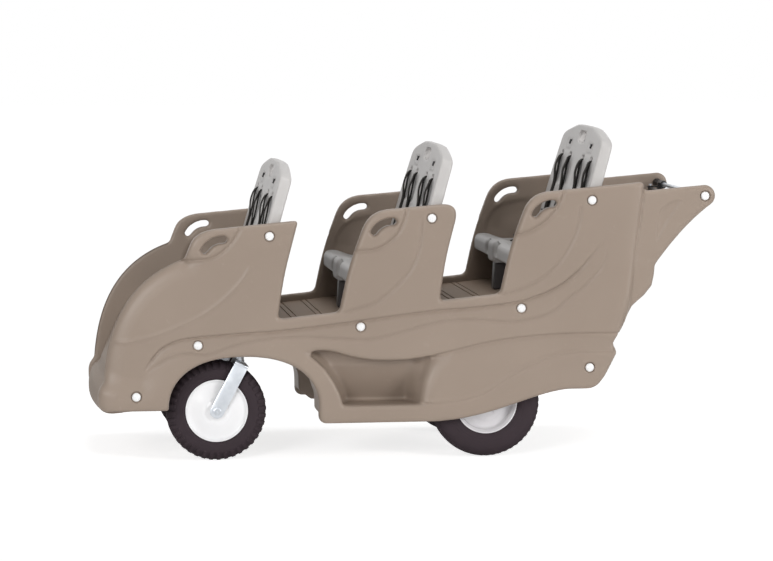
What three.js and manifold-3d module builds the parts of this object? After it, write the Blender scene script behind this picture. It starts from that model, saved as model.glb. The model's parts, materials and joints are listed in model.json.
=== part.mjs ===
// Six-seat daycare stroller with three moulded bench rows between two moulded side walls.
// Millimetres: x runs back from the nose to the push bar, y to the riders' right, z up from the ground.
import * as THREE from "three";
import { mergeVertices } from "three/addons/utils/BufferGeometryUtils.js";
import Module from "manifold-3d";

const wasm = await Module();
wasm.setup();

// Driving sizes of the whole buggy
const rowCount = 3;
const rowPitch = 506; // from one bench to the next
const rowRise = 51; // how much higher each bench sits than the one ahead of it
const noseReach = 240; // from the foot of the first row's wall forward to the nose
const tailReach = 700; // from the foot of the last row's wall back to the end of the push arms
const bodyWidth = 750;
const skirtFlare = 17; // the lower skirt stands this much proud of the upper wall
const wallThickness = 30;
const wallHeight = 357; // top of a row's wall above its floor
const sillHeight = 31; // doorway sill above the floor
const firstFloor = 392; // floor of the first row above the ground
const noseClearance = 170;
const skirtClearance = 122;
const edgeRound = 6; // moulded edges of the side walls
const clearance = 0.3;

// Wheels and steering
const frontTyreDiameter = 312;
const frontTyreWidth = 76;
const rearTyreDiameter = 344;
const rearTyreWidth = 92;
const casterSetback = 216; // caster pivot behind the foot of the first row's wall
const casterInset = 88; // caster pivot inside the wall's inner face
const casterTrail = 72;
const forkLean = THREE.MathUtils.degToRad(28);
const rearAxleSetback = 23; // rear axle ahead of the foot of the last row's wall
const rearWheelInset = 56; // rear wheel's middle inside the wall's inner face

// Places that the sizes above give
const overallLength = noseReach + (rowCount - 1) * rowPitch + tailReach;
const noseX = -overallLength / 2;
const firstRowX = noseX + noseReach;
const floorSlope = rowRise / rowPitch;
const wallOuter = bodyWidth / 2 - skirtFlare;
const wallInner = wallOuter - wallThickness;
const skirtOuter = bodyWidth / 2;
const cabinHalf = wallInner - clearance;
const rowX = (k) => firstRowX + k * rowPitch;
const rowZ = (k) => firstFloor + k * rowRise;
const floorAt = (x) => firstFloor + (x - firstRowX) * floorSlope;
const lastRow = rowCount - 1;
const lastFloor = rowZ(lastRow);
const frontRadius = frontTyreDiameter / 2;
const rearRadius = rearTyreDiameter / 2;
const pivotX = firstRowX + casterSetback;
const casterSpread = wallInner - casterInset;
const rearWheelSpread = wallInner - rearWheelInset;
const rearAxleX = rowX(lastRow) - rearAxleSetback;
const swingRadius = casterTrail + frontRadius;

// Materials, in the colours of the photograph
const finish = (color, roughness, metalness = 0) =>
  new THREE.MeshStandardMaterial({ color, roughness, metalness });
const tanPlastic = () => finish(0x9e8f84, 0.55);
const greyPlastic = () => finish(0x9e9a97, 0.45);
const darkPlastic = () => finish(0x3a3432, 0.6);
const blackWebbing = () => finish(0x161514, 0.85);
const whitePlastic = () => finish(0xf4f4f4, 0.35);
const whiteEnamel = () => finish(0xd9d7da, 0.3);
const zincSteel = () => finish(0xdce2e7, 0.35, 0.8);
const blackRubber = () => finish(0x40363e, 0.9);

// Shape helpers: every shape is a three.js geometry, and manifold-3d only joins and cuts
const mergeTolerance = 1e-4;
const vector = (x, y, z) => new THREE.Vector3(x, y, z);
const extrudeBases = {
  x: [vector(0, 1, 0), vector(0, 0, 1), vector(1, 0, 0)],
  y: [vector(1, 0, 0), vector(0, 0, 1), vector(0, -1, 0)],
  z: [vector(1, 0, 0), vector(0, 1, 0), vector(0, 0, 1)],
};

function toSolid(geometry) {
  const bare = new THREE.BufferGeometry();
  bare.setAttribute("position", geometry.getAttribute("position").clone());
  bare.setIndex(geometry.index ? geometry.index.clone() : null);
  const merged = mergeVertices(bare, mergeTolerance);
  const build = (flip) => {
    const corners = [];
    for (let i = 0; i < merged.index.count; i += 3) {
      const [a, b, c] = [0, 1, 2].map((j) => merged.index.getX(i + j));
      if (a !== b && b !== c && c !== a) corners.push(...(flip ? [a, c, b] : [a, b, c]));
    }
    const mesh = {
      numProp: 3,
      vertProperties: merged.attributes.position.array,
      triVerts: new Uint32Array(corners),
    };
    return new wasm.Manifold(new wasm.Mesh(mesh));
  };
  const made = build(false);
  return made.volume() < 0 ? build(true) : made;
}

function toGeometry(solid) {
  const mesh = solid.getMesh();
  const places = new Float32Array(mesh.numVert * 3);
  for (let i = 0; i < mesh.numVert; i++) {
    places.set(mesh.vertProperties.subarray(i * mesh.numProp, i * mesh.numProp + 3), i * 3);
  }
  const geometry = new THREE.BufferGeometry();
  geometry.setAttribute("position", new THREE.BufferAttribute(places, 3));
  geometry.setIndex(new THREE.BufferAttribute(mesh.triVerts, 1));
  return geometry;
}

const join = (...shapes) => toGeometry(shapes.map(toSolid).reduce((a, b) => a.add(b)));
const cut = (shape, ...tools) =>
  toGeometry(tools.map(toSolid).reduce((a, b) => a.subtract(b), toSolid(shape)));
const overlap = (a, b) => toGeometry(toSolid(a).intersect(toSolid(b)));

// Extrudes an outline along an axis.
// Along y the outline is (x, z), along x it is (y, z), along z it is (x, y).
function extruded(axis, points, low, high, round = 0, roundWidth = round) {
  const shape = new THREE.Shape(points.map(([a, b]) => new THREE.Vector2(a, b)));
  const geometry = new THREE.ExtrudeGeometry(shape, {
    depth: high - low - 2 * round,
    steps: 1,
    bevelEnabled: round > 0,
    bevelThickness: round,
    bevelSize: roundWidth,
    bevelOffset: -roundWidth,
    bevelSegments: 1,
  });
  geometry.translate(0, 0, (axis === "y" ? -high : low) + round);
  return geometry.applyMatrix4(new THREE.Matrix4().makeBasis(...extrudeBases[axis]));
}

const block = (x, y, z) =>
  new THREE.BoxGeometry(x[1] - x[0], y[1] - y[0], z[1] - z[0]).translate(
    (x[0] + x[1]) / 2,
    (y[0] + y[1]) / 2,
    (z[0] + z[1]) / 2,
  );

// Turns a profile of [radius, y] points about the y axis. An even count leaves a flat facet straight down.
const turned = (profile, sides) =>
  new THREE.LatheGeometry(profile.map(([r, y]) => new THREE.Vector2(r, y)), sides, Math.PI / sides);
const rod = (radius, low, high, sides = barSides) =>
  turned([[0, low], [radius, low], [radius, high], [0, high]], sides);
const placed = (geometry, x, y, z) => geometry.translate(x, y, z);
const holeRadius = (radius, sides = barSides) => (radius + clearance) / Math.cos(Math.PI / sides);

// Eases each corner [x, z, reach] of an outline with a curve that starts and ends that far from the corner.
const cornerSteps = 2;
const longestReachShare = 0.48;
function eased(corners) {
  const count = corners.length;
  return corners.flatMap(([x, z, reach = 0], i) => {
    if (!reach) return [[x, z]];
    const corner = new THREE.Vector2(x, z);
    const [before, after] = [corners[(i + count - 1) % count], corners[(i + 1) % count]].map(([nx, nz]) => {
      const away = new THREE.Vector2(nx, nz).sub(corner);
      const length = Math.min(reach, longestReachShare * away.length());
      return away.setLength(length).add(corner);
    });
    const bend = new THREE.QuadraticBezierCurve(before, corner, after);
    return bend.getPoints(cornerSteps).map((p) => [p.x, p.y]);
  });
}

const curve = (steps, ...controls) =>
  new THREE.CubicBezierCurve(...controls.map(([x, z]) => new THREE.Vector2(x, z)))
    .getPoints(steps)
    .map((p) => [p.x, p.y]);
const spline = (steps, points) =>
  new THREE.SplineCurve(points.map(([x, z]) => new THREE.Vector2(x, z)))
    .getPoints(steps)
    .map((p) => [p.x, p.y]);
const ring = (x, z, radius, sides, from = 0, to = 2 * Math.PI) =>
  Array.from({ length: sides }, (_, i) => {
    const angle = from + ((to - from) * i) / (to - from < 2 * Math.PI ? sides - 1 : sides);
    return [x + radius * Math.cos(angle), z + radius * Math.sin(angle)];
  });

const stroller = new THREE.Group();
function addMesh(parent, name, geometry, material) {
  const mesh = new THREE.Mesh(toGeometry(toSolid(geometry)), material);
  mesh.name = name;
  parent.add(mesh);
  return mesh;
}

// Cross bars: a spacer tube between the walls, with a bolt through each wall under a domed white cap
const barRadius = 9;
const boltRadius = 6;
const capRadius = 13.5;
const capHeight = 5;
const capPocketRadius = 17;
const capPocketDepth = 3;
const grooveDepth = 5; // the waist groove that the middle caps sit in
const barSides = 8;
const wheelSides = 20;
const panThickness = 20;
const topBarSetbackShare = 0.599; // of the row pitch, behind the foot of the row's wall
const topBarHeightShare = 0.88; // of the wall height, above the row's floor
const midBarSetbackShare = 0.16;
const frontBarShare = [0.538, 1.27]; // behind the nose in nose reaches, up in nose clearances
const rearBarShare = [0.4214, 0.577]; // behind the last wall's foot in tail reaches, up in last floors
const eyeRadius = 34;
const eyeHeightShare = 0.908;
const armInsetShare = 0.27; // of the wall thickness
const armOuter = wallOuter - armInsetShare * wallThickness;
const midBarX = (k) => rowX(k) + midBarSetbackShare * rowPitch;
const topBars = Array.from({ length: rowCount }, (_, k) => ({
  name: `row_${k + 1}_back_bar`,
  x: rowX(k) + topBarSetbackShare * rowPitch,
  z: rowZ(k) + topBarHeightShare * wallHeight,
  face: wallOuter,
}));
const midBars = Array.from({ length: rowCount }, (_, k) => ({
  name: `row_${k + 1}_floor_bar`,
  x: midBarX(k),
  z: floorAt(midBarX(k)) - panThickness - clearance - barRadius - floorSlope * barRadius,
  face: wallOuter - grooveDepth,
}));
const frontBar = {
  name: "nose_bar",
  x: noseX + frontBarShare[0] * noseReach,
  z: frontBarShare[1] * noseClearance,
  face: skirtOuter,
};
const rearBar = {
  name: "rear_bar",
  x: rowX(lastRow) + rearBarShare[0] * tailReach,
  z: rearBarShare[1] * lastFloor,
  face: skirtOuter,
};
const pushRadius = 7;
const pushBar = {
  name: "push_bar",
  x: rowX(lastRow) + tailReach - eyeRadius,
  z: lastFloor + eyeHeightShare * wallHeight,
  face: armOuter,
};
const allBars = [...topBars, ...midBars, frontBar, rearBar, pushBar];

function barShape(bar, radius) {
  const seat = bar.face - capPocketDepth + clearance;
  const side = [
    [0, seat + capHeight],
    [capRadius * Math.SQRT1_2, seat + capHeight * 0.7],
    [capRadius, seat],
    [boltRadius, seat],
    [boltRadius, cabinHalf],
    [radius, cabinHalf],
  ];
  const mirrored = side.map(([r, y]) => [r, -y]).reverse();
  return turned([...side, ...mirrored], barSides);
}
allBars.forEach((bar) => {
  const radius = bar === pushBar ? pushRadius : barRadius;
  const mesh = addMesh(stroller, bar.name, barShape(bar, radius), zincSteel());
  mesh.position.set(bar.x, 0, bar.z);
});

// Side wall outline: places along a row's wall are shares of the row pitch and the wall height
const wallPoint = (k, [along, up, reach]) => [
  rowX(k) + along * rowPitch,
  rowZ(k) + up * wallHeight,
  reach * rowPitch,
];
const footShare = 0.028;
const heelShare = 0.648;
const footReachShare = 0.03;
const heelReachShare = 0.016;
const sillPoint = (k, along, reach) => {
  const x = rowX(k) + along * rowPitch;
  return [x, floorAt(x) + sillHeight, reach * rowPitch];
};
const frontEdgeShares = [
  [0.213, 0.945, 0.12],
  [0.091, 0.482, 0.15],
];
const rearEdgeShares = [
  [0.686, 0.532, 0.12],
  [0.753, 1.008, 0.07],
];
const firstRearCornerShares = [0.757, 1.008, 0.03];
const lastTopCornerShares = [0.933, 1.036, 0.03];
const firstTopCornerShares = [0.148, 0.93, 0.13];
const shoulderShares = [0.081, 0.686, 0.01];

// Nose and tail: shares of their reach, and of the floor height below the floor line
const nosePoint = (along, up) => [noseX + along * noseReach, up * firstFloor];
const fenderShares = [
  [0.4002, 1.505],
  [0.1086, 1.148],
  [0.0877, 0.668],
];
const noseFrontShares = [0.05, 0.6, 0.08];
const noseChinReachShare = 0.14;
const bumperBow = 12; // how far the bumper's middle stands ahead of the walls
const tailPoint = ([along, up, reach]) => [
  rowX(lastRow) + along * tailReach,
  up * lastFloor,
  reach * tailReach,
];
const tailEdgeShares = [
  [0.446, 0.439, 0.037],
  [0.489, 0.506, 0.03],
  [0.55, 0.674, 0.02],
  [0.53, 0.722, 0.007],
  [0.563, 0.802, 0.012],
  [0.6, 0.984, 0.06],
];
const skirtSweepShares = [
  [-0.55, 0],
  [0.009, 0],
  [0.387, 0.9],
  [0.735, 1],
]; // in rear tyre diameters from the axle, and from the skirt's foot up to the tail's foot

// Front wheel arch: a squarish half oval round the caster's swing
const archGap = 5;
const archShift = 6;
const archHeadroom = 20;
const archSteps = 12;
const archSquareness = 2.3;
const archX = pivotX + archShift;
const archHalf = swingRadius + archGap;
const archTop = frontTyreDiameter + archHeadroom;
const archRear = archX + archHalf;
const archPoints = Array.from({ length: archSteps + 1 }, (_, i) => {
  const angle = Math.PI * (1 - i / archSteps);
  const bulge = (value) => Math.sign(value) * Math.abs(value) ** (2 / archSquareness);
  return [
    archX + archHalf * bulge(Math.cos(angle)),
    noseClearance + (archTop - noseClearance) * bulge(Math.max(Math.sin(angle), 0)),
  ];
});
const skirtFootReachShare = 0.2;

function sideOutline() {
  const sweepTop = tailEdgeShares[0][1] * lastFloor - clearance;
  const sweep = skirtSweepShares.map(([along, up]) => [
    rearAxleX + along * rearTyreDiameter,
    skirtClearance + up * (sweepTop - skirtClearance),
  ]);
  const rows = [];
  for (let k = lastRow; k >= 0; k--) {
    if (k === lastRow) rows.push(wallPoint(k, lastTopCornerShares));
    else {
      rows.push(sillPoint(k, heelShare, heelReachShare), wallPoint(k, rearEdgeShares[0]));
      rows.push(wallPoint(k, k ? rearEdgeShares[1] : firstRearCornerShares));
    }
    if (k) {
      rows.push(...frontEdgeShares.map((share) => wallPoint(k, share)));
      rows.push(sillPoint(k, footShare, footReachShare));
    }
  }
  const shoulder = wallPoint(0, shoulderShares);
  const fender = curve(8, shoulder, ...fenderShares.map((share) => nosePoint(...share))).slice(1);
  return eased([
    [archRear, skirtClearance, skirtFootReachShare * skirtClearance],
    ...curve(7, ...sweep),
    ...tailEdgeShares.map(tailPoint),
    ...rows,
    wallPoint(0, firstTopCornerShares),
    shoulder,
    ...fender,
    [...nosePoint(noseFrontShares[0], noseFrontShares[1]), noseFrontShares[2] * noseReach],
    [noseX + bumperBow, noseClearance, noseChinReachShare * noseReach],
    ...archPoints,
  ]);
}

// Waist lines: shares of the overall length behind the nose, and of the wall height above the floor line
const waistPoint = ([along, up]) => {
  const x = noseX + along * overallLength;
  return [x, floorAt(x) + up * wallHeight];
};
const crestShares = [
  [0.0702, -0.29],
  [0.1005, -0.078],
  [0.1536, -0.006],
  [0.2883, -0.031],
  [0.5358, -0.011],
  [0.6779, -0.014],
  [0.7336, 0.064],
  [0.7962, 0.339],
  [0.8227, 0.514],
];
const troughShares = [
  [0.0702, -0.31],
  [0.1233, -0.151],
  [0.173, -0.172],
  [0.2267, -0.115],
  [0.2764, -0.096],
  [0.3569, -0.14],
  [0.4314, -0.199],
  [0.4871, -0.165],
  [0.5666, -0.118],
  [0.659, -0.19],
  [0.7296, -0.143],
  [0.7892, 0.081],
  [0.8227, 0.49],
];
const waistSteps = 18;
const overrun = 60; // how far a cutting shape runs past what it cuts
const flareSlope = 30; // width of the slope from the waist out to the skirt

// Finger slots and the shallow round seat that each is moulded in
const slotCentreShares = [0.312, 0.678];
const slotBend = 65; // radius of the slot's centre line
const slotHalfWidth = 12;
const slotFrom = THREE.MathUtils.degToRad(82);
const slotTo = THREE.MathUtils.degToRad(158);
const slotSeatShares = [0.19, 0.98];
const slotSeatRadius = 118;
const slotSeatDepth = 3;
const slotPlace = (k, shares) => [rowX(k) + shares[0] * rowPitch, rowZ(k) + shares[1] * wallHeight];

function slotOutline(k) {
  const [x, z] = slotPlace(k, slotCentreShares);
  const arc = (radius, from, to) => ring(x, z, radius, 5, from, to);
  const endCap = (angle, turn) => {
    const [ex, ez] = [x + slotBend * Math.cos(angle), z + slotBend * Math.sin(angle)];
    return ring(ex, ez, slotHalfWidth, 5, turn, turn + Math.PI).slice(1, -1);
  };
  return [
    ...arc(slotBend + slotHalfWidth, slotFrom, slotTo),
    ...endCap(slotTo, slotTo),
    ...arc(slotBend - slotHalfWidth, slotTo, slotFrom),
    ...endCap(slotFrom, slotFrom + Math.PI),
  ];
}

// Step well on each side: shares of the span from the arch to the rear tyre, and from the skirt to the floor
const stepDepth = 125;
const stepWall = 10;
const stepSpan = rearAxleX - rearRadius - archRear;
const stepRise = floorAt(archRear) - skirtClearance;
const stepPoint = ([along, up]) => [archRear + along * stepSpan, skirtClearance + up * stepRise];
const stepTopShares = [
  [-0.104, 0.701],
  [0.015, 0.717],
  [0.129, 0.704],
  [0.259, 0.66],
  [0.427, 0.623],
  [0.616, 0.61],
  [0.804, 0.623],
  [0.953, 0.648],
  [1.1, 0.677],
];
const stepSideShares = [
  [1.03, 0.585],
  [0.953, 0.481],
  [0.898, 0.374],
  [0.856, 0.214],
  [0.87, 0.176],
  [0.209, 0.176],
  [0.184, 0.283],
  [0.129, 0.412],
  [0.054, 0.541],
  [-0.06, 0.66],
];
const stepBoxShares = [
  [0, 0.1],
  [0.11, 0],
  [0.931, 0],
  [0.931, 0.182],
  [0.964, 0.371],
  [1.08, 0.56],
  [1.207, 0.786],
  [-0.148, 0.786],
  [-0.087, 0.528],
  [-0.004, 0.261],
];
const stepInner = skirtOuter - stepDepth - stepWall;

// Push arm: shares of the tail reach and of the wall height, from the foot of the last wall
const armPoint = ([along, up, reach = 0]) => [
  rowX(lastRow) + along * tailReach,
  lastFloor + up * wallHeight,
  reach * tailReach,
];
const armHeelShares = [
  [0.726, 0.305],
  [0.723, 0.225],
  [0.712, 0.12],
  [0.679, 0.04],
  [0.623, -0.056],
  [0.563, -0.275],
  [0.52, -0.275],
  [0.52, 0.96],
];
const armUnderShares = [0.857, 0.661];
const armTopShares = [0.683, 0.958, 0.02];
const armPanelShares = [
  [0.726, 0.527, 0.01],
  [0.73, 0.76, 0.04],
  [0.775, 0.868, 0.05],
  [0.88, 0.885, 0.01],
];
const armPanelDepth = 5;

function armOutline() {
  const [eyeX, eyeZ] = [pushBar.x, pushBar.z];
  const eye = ring(eyeX, eyeZ, eyeRadius, 7, -Math.PI / 4, Math.PI / 2);
  const heel = armHeelShares.map(armPoint);
  const under = new THREE.QuadraticBezierCurve(
    ...[eye[0], armPoint(armUnderShares), heel[0]].map(([x, z]) => new THREE.Vector2(x, z)),
  ).getPoints(5);
  const underside = under.slice(1, -1).reverse().map((p) => [p.x, p.y]);
  return eased([...eye, armPoint(armTopShares), ...heel.reverse(), ...underside]);
}

// Ledge on each wall that the floor pans and the rear bin rest on
const ledgeDepth = 20;
const ledgeHeight = 16;
const seamShare = 0.474; // each pan ends this share of the pitch behind the foot of its row's wall
const seamX = (k) => rowX(k) + seamShare * rowPitch;
const webShares = [0.4753, 0.5998]; // the nose's web, behind the nose in nose reaches
const webX = webShares.map((share) => noseX + share * noseReach);
const binFrontShare = 0.3;
const binFrontX = rowX(lastRow) + binFrontShare * tailReach;
const panStart = (k) => (k ? seamX(k - 1) + clearance : webX[1] + clearance);

function ledge() {
  const [from, to] = [panStart(0), binFrontX - clearance];
  const top = (x) => floorAt(x) - panThickness - clearance;
  const strip = [
    [from, top(from)],
    [to, top(to)],
    [to, top(to) - ledgeHeight],
    [from, top(from) - ledgeHeight],
  ];
  return extruded("y", strip, wallInner - ledgeDepth, wallInner + edgeRound);
}

function sideWall() {
  const outline = sideOutline();
  const trough = spline(waistSteps, troughShares.map(waistPoint));
  const crest = spline(waistSteps, crestShares.map(waistPoint));
  const [first, last] = [trough[0], trough[trough.length - 1]];
  const flareReach = overrun + flareSlope;
  const belowWaist = [
    [noseX - flareReach, first[1]],
    ...trough,
    [last[0] + flareReach, last[1] + flareReach],
    [last[0] + flareReach + tailReach, last[1]],
    [last[0] + flareReach + tailReach, -flareReach],
    [noseX - flareReach, -flareReach],
  ];
  const skirt = overlap(
    extruded("y", outline, wallInner + edgeRound, skirtOuter, edgeRound),
    extruded("y", belowWaist, wallInner - skirtFlare, skirtOuter, skirtFlare, flareSlope),
  );
  const wall = join(
    extruded("y", outline, wallInner, wallOuter, edgeRound),
    skirt,
    extruded("y", stepBoxShares.map(stepPoint), stepInner, wallInner + edgeRound),
    extruded("y", armOutline(), wallInner, armOuter),
    ledge(),
  );
  const groove = [...crest, ...[...trough].reverse().slice(1, -1)];
  const stepOutline = [...spline(8, stepTopShares.map(stepPoint)), ...stepSideShares.map(stepPoint)];
  const pockets = allBars.map((bar) =>
    placed(rod(capPocketRadius, bar.face - capPocketDepth, bar.face + overrun), bar.x, 0, bar.z),
  );
  const boltHoles = allBars.map((bar) =>
    placed(rod(holeRadius(boltRadius), wallInner - clearance, bar.face + overrun), bar.x, 0, bar.z),
  );
  const barNotches = midBars.map((bar) =>
    placed(rod(holeRadius(barRadius), wallInner - overrun, wallInner), bar.x, 0, bar.z),
  );
  const rows = Array.from({ length: rowCount }, (_, k) => k);
  const slots = rows.map((k) => extruded("y", slotOutline(k), wallInner - overrun, wallOuter + overrun));
  const slotSeats = rows.map((k) => {
    const [x, z] = slotPlace(k, slotSeatShares);
    return placed(rod(slotSeatRadius, wallOuter - slotSeatDepth, wallOuter + overrun, wheelSides), x, 0, z);
  });
  return cut(
    wall,
    extruded("y", groove, wallOuter - grooveDepth, wallOuter + clearance),
    extruded("y", stepOutline, skirtOuter - stepDepth, skirtOuter + overrun),
    extruded("y", eased(armPanelShares.map(armPoint)), armOuter - armPanelDepth, armOuter + overrun),
    ...pockets,
    ...boltHoles,
    ...barNotches,
    ...slots,
    ...slotSeats,
  );
}
const wallGeometry = sideWall();
addMesh(stroller, "right_side_wall", wallGeometry, tanPlastic());
addMesh(stroller, "left_side_wall", wallGeometry, tanPlastic()).scale.y = -1;

// Nose: a rolled bumper that rises into a toe hood, with a web that the nose bar runs through
const noseOuterShares = [
  [0.8375, 0.4337, 0],
  [0.1167, 0.4031, 0.0917],
  [0, 0.4388, 0.0667],
  [0, 0.5663, 0.0833],
  [0.0583, 0.6276, 0.0583],
  [0.1333, 0.6429, 0.0417],
  [0.1917, 0.7398, 0.05],
  [0.3083, 0.8571, 0.075],
  [0.45, 1.0102, 0.075],
  [0.6167, 1.1684, 0.075],
  [0.7917, 1.25, 0.0208],
  [0.7833, 1.2092, 0.0125],
  [0.6667, 1.1327, 0.075],
  [0.5083, 0.9796, 0.075],
  [0.3583, 0.8163, 0.075],
  [0.2417, 0.7092, 0.0417],
  [0.1917, 0.5918, 0.0417],
  [0.1083, 0.5, 0.0417],
  [0.1667, 0.4592, 0.025],
  [0.8375, 0.4745, 0],
];
const webTopShares = [1, 1.11];
const bowRadius = (cabinHalf ** 2 + bumperBow ** 2) / (2 * bumperBow);
const bowAngle = Math.asin(cabinHalf / bowRadius);
const bowSteps = 9;
function nose() {
  const shell = noseOuterShares.map(([along, up, reach]) => [...nosePoint(along, up), reach * noseReach]);
  const web = [
    [webX[0], noseClearance + clearance],
    [webX[1], noseClearance + clearance],
    [webX[1], webTopShares[1] * firstFloor],
    [webX[0], webTopShares[0] * firstFloor],
  ];
  const bore = placed(rod(holeRadius(barRadius), -skirtOuter, skirtOuter), frontBar.x, 0, frontBar.z);
  const back = webX[1] + overrun;
  const bowed = [
    ...ring(noseX + bowRadius, 0, bowRadius, bowSteps, Math.PI + bowAngle, Math.PI - bowAngle),
    [back, cabinHalf],
    [back, -cabinHalf],
  ];
  const roll = join(
    extruded("y", eased(shell), -cabinHalf, cabinHalf),
    extruded("y", web, -cabinHalf, cabinHalf),
  );
  return cut(overlap(roll, extruded("z", bowed, 0, firstFloor + overrun * 2)), bore);
}
addMesh(stroller, "nose_bumper", nose(), tanPlastic());

// Floor pans, with pairs of drain grooves across them
const groovePitch = 80;
const grooveGap = 17;
const grooveWidth = 5;
const grooveCut = 3;
const firstGrooveShare = -0.028; // of the row pitch, from the foot of the row's wall
function floorPan(k) {
  const [from, to] = [panStart(k), seamX(k)];
  const top = [];
  const first = rowX(k) + firstGrooveShare * rowPitch;
  for (let pair = first; pair > from + 2 * grooveGap; pair -= groovePitch) {
    for (const groove of [pair, pair - grooveGap]) {
      top.push([groove, 0], [groove - grooveWidth / 4, grooveCut]);
      top.push([groove - (grooveWidth * 3) / 4, grooveCut], [groove - grooveWidth, 0]);
    }
  }
  const surface = [[to, 0], ...top, [from, 0]].map(([x, depth]) => [x, floorAt(x) - depth]);
  const underside = [from, to].map((x) => [x, floorAt(x) - panThickness]);
  return extruded("y", [...surface, ...underside], -cabinHalf, cabinHalf);
}
for (let k = 0; k < rowCount; k++) addMesh(stroller, `row_${k + 1}_floor`, floorPan(k), tanPlastic());

// Rear bin behind the last bench: a tub that follows the walls' rear edge and rests on the rear bar
const binWall = 12;
const binFloorZ = rearBar.z + barRadius + clearance;
const binBackShares = [
  [0.52, 0.62, 0.03],
  [0.548, 0.8, 0.03],
  [0.6, 0.945, 0.03],
  [0.66, 1.025, 0.04],
  [0.695, 1.1, 0.03],
  [0.705, 1.2, 0],
];
function rearBin() {
  const back = binBackShares.map(tailPoint);
  const frontTop = floorAt(binFrontX) - panThickness - clearance;
  const outer = [
    [binFrontX, frontTop],
    [binFrontX, binFloorZ, binWall],
    [back[0][0], binFloorZ, binWall],
    ...back,
  ];
  const inner = [
    ...back.map(([x, z, reach]) => [x - binWall, z, reach]).reverse(),
    [back[0][0] - binWall, binFloorZ + binWall, binWall],
    [binFrontX + binWall, binFloorZ + binWall, binWall],
    [binFrontX + binWall, frontTop],
  ];
  return extruded("y", eased([...outer, ...inner]), -cabinHalf, cabinHalf);
}
addMesh(stroller, "rear_bin", rearBin(), tanPlastic());

// Bench seats, on a local frame at the foot of each row's wall
const seatLipShare = 0.087; // front of the seat behind the foot of the wall, in row pitches
const seatTop = 163; // above the row's floor line at the foot of its wall
const seatLipHeight = 54;
const seatShell = 13;
const seatRound = 20;
const backThickness = 38;
const recline = THREE.MathUtils.degToRad(16.5);
const backBarInset = 15; // from the backrest's front face back to the bar in its groove
const pommelHalf = 50;
const pommelDepth = 84;
const pommelLead = 3; // ahead of the seat's lip
const pommelDrop = 15; // below the seat's lip
const pommelRise = 4;
const pommelRound = 9;
const pommelCorner = 14;
const seatLipX = seatLipShare * rowPitch;
const backBarX = topBarSetbackShare * rowPitch;
const backBarZ = topBarHeightShare * wallHeight;
const backFaceAt = (z) => backBarX - backBarInset - (backBarZ - z) * Math.tan(recline);

function benchSeat() {
  const rear = (z) => backFaceAt(z) - clearance / Math.cos(recline);
  const lipBottom = seatTop - seatLipHeight;
  const under = seatTop - seatShell;
  const shell = eased([
    [seatLipX, lipBottom, seatShell / 2],
    [seatLipX, seatTop, seatRound],
    [rear(seatTop), seatTop],
    [rear(lipBottom), lipBottom],
    [rear(lipBottom) - seatShell, lipBottom],
    [rear(under) - seatShell, under, seatShell / 2],
    [seatLipX + seatShell, under, seatShell],
    [seatLipX + seatShell, lipBottom],
  ]);
  const pommelFront = seatLipX - pommelLead;
  const pommel = eased([
    [pommelFront, lipBottom - pommelDrop, pommelCorner],
    [pommelFront, seatTop + pommelRise, seatRound],
    [pommelFront + pommelDepth, seatTop + pommelRise, pommelDepth / 3],
    [pommelFront + pommelDepth, lipBottom - pommelDrop, pommelCorner],
  ]);
  return join(
    extruded("y", shell, -cabinHalf, cabinHalf),
    extruded("y", pommel, -pommelHalf, pommelHalf, pommelRound),
  );
}

// Seat post: a dark moulded pedestal between the floor and the pommel
const postHalf = 22;
const postLength = 72;
const postSetback = 10;
const postRound = 3;
const postCorner = 6;
function seatPost() {
  const from = seatLipX + postSetback;
  const floor = (x) => x * floorSlope + clearance;
  const top = seatTop - seatLipHeight - pommelDrop - clearance;
  const outline = eased([
    [from - postSetback / 2, floor(from), postCorner],
    [from, top, postCorner],
    [from + postLength, top, postCorner],
    [from + postLength + postSetback, floor(from + postLength + postSetback), postCorner],
  ]);
  return extruded("y", outline, -postHalf, postHalf, postRound);
}

// Backrest: a tapered double-wall panel, built upright at the bar that it hangs on and then leant back
const backTopAboveBar = 218;
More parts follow.
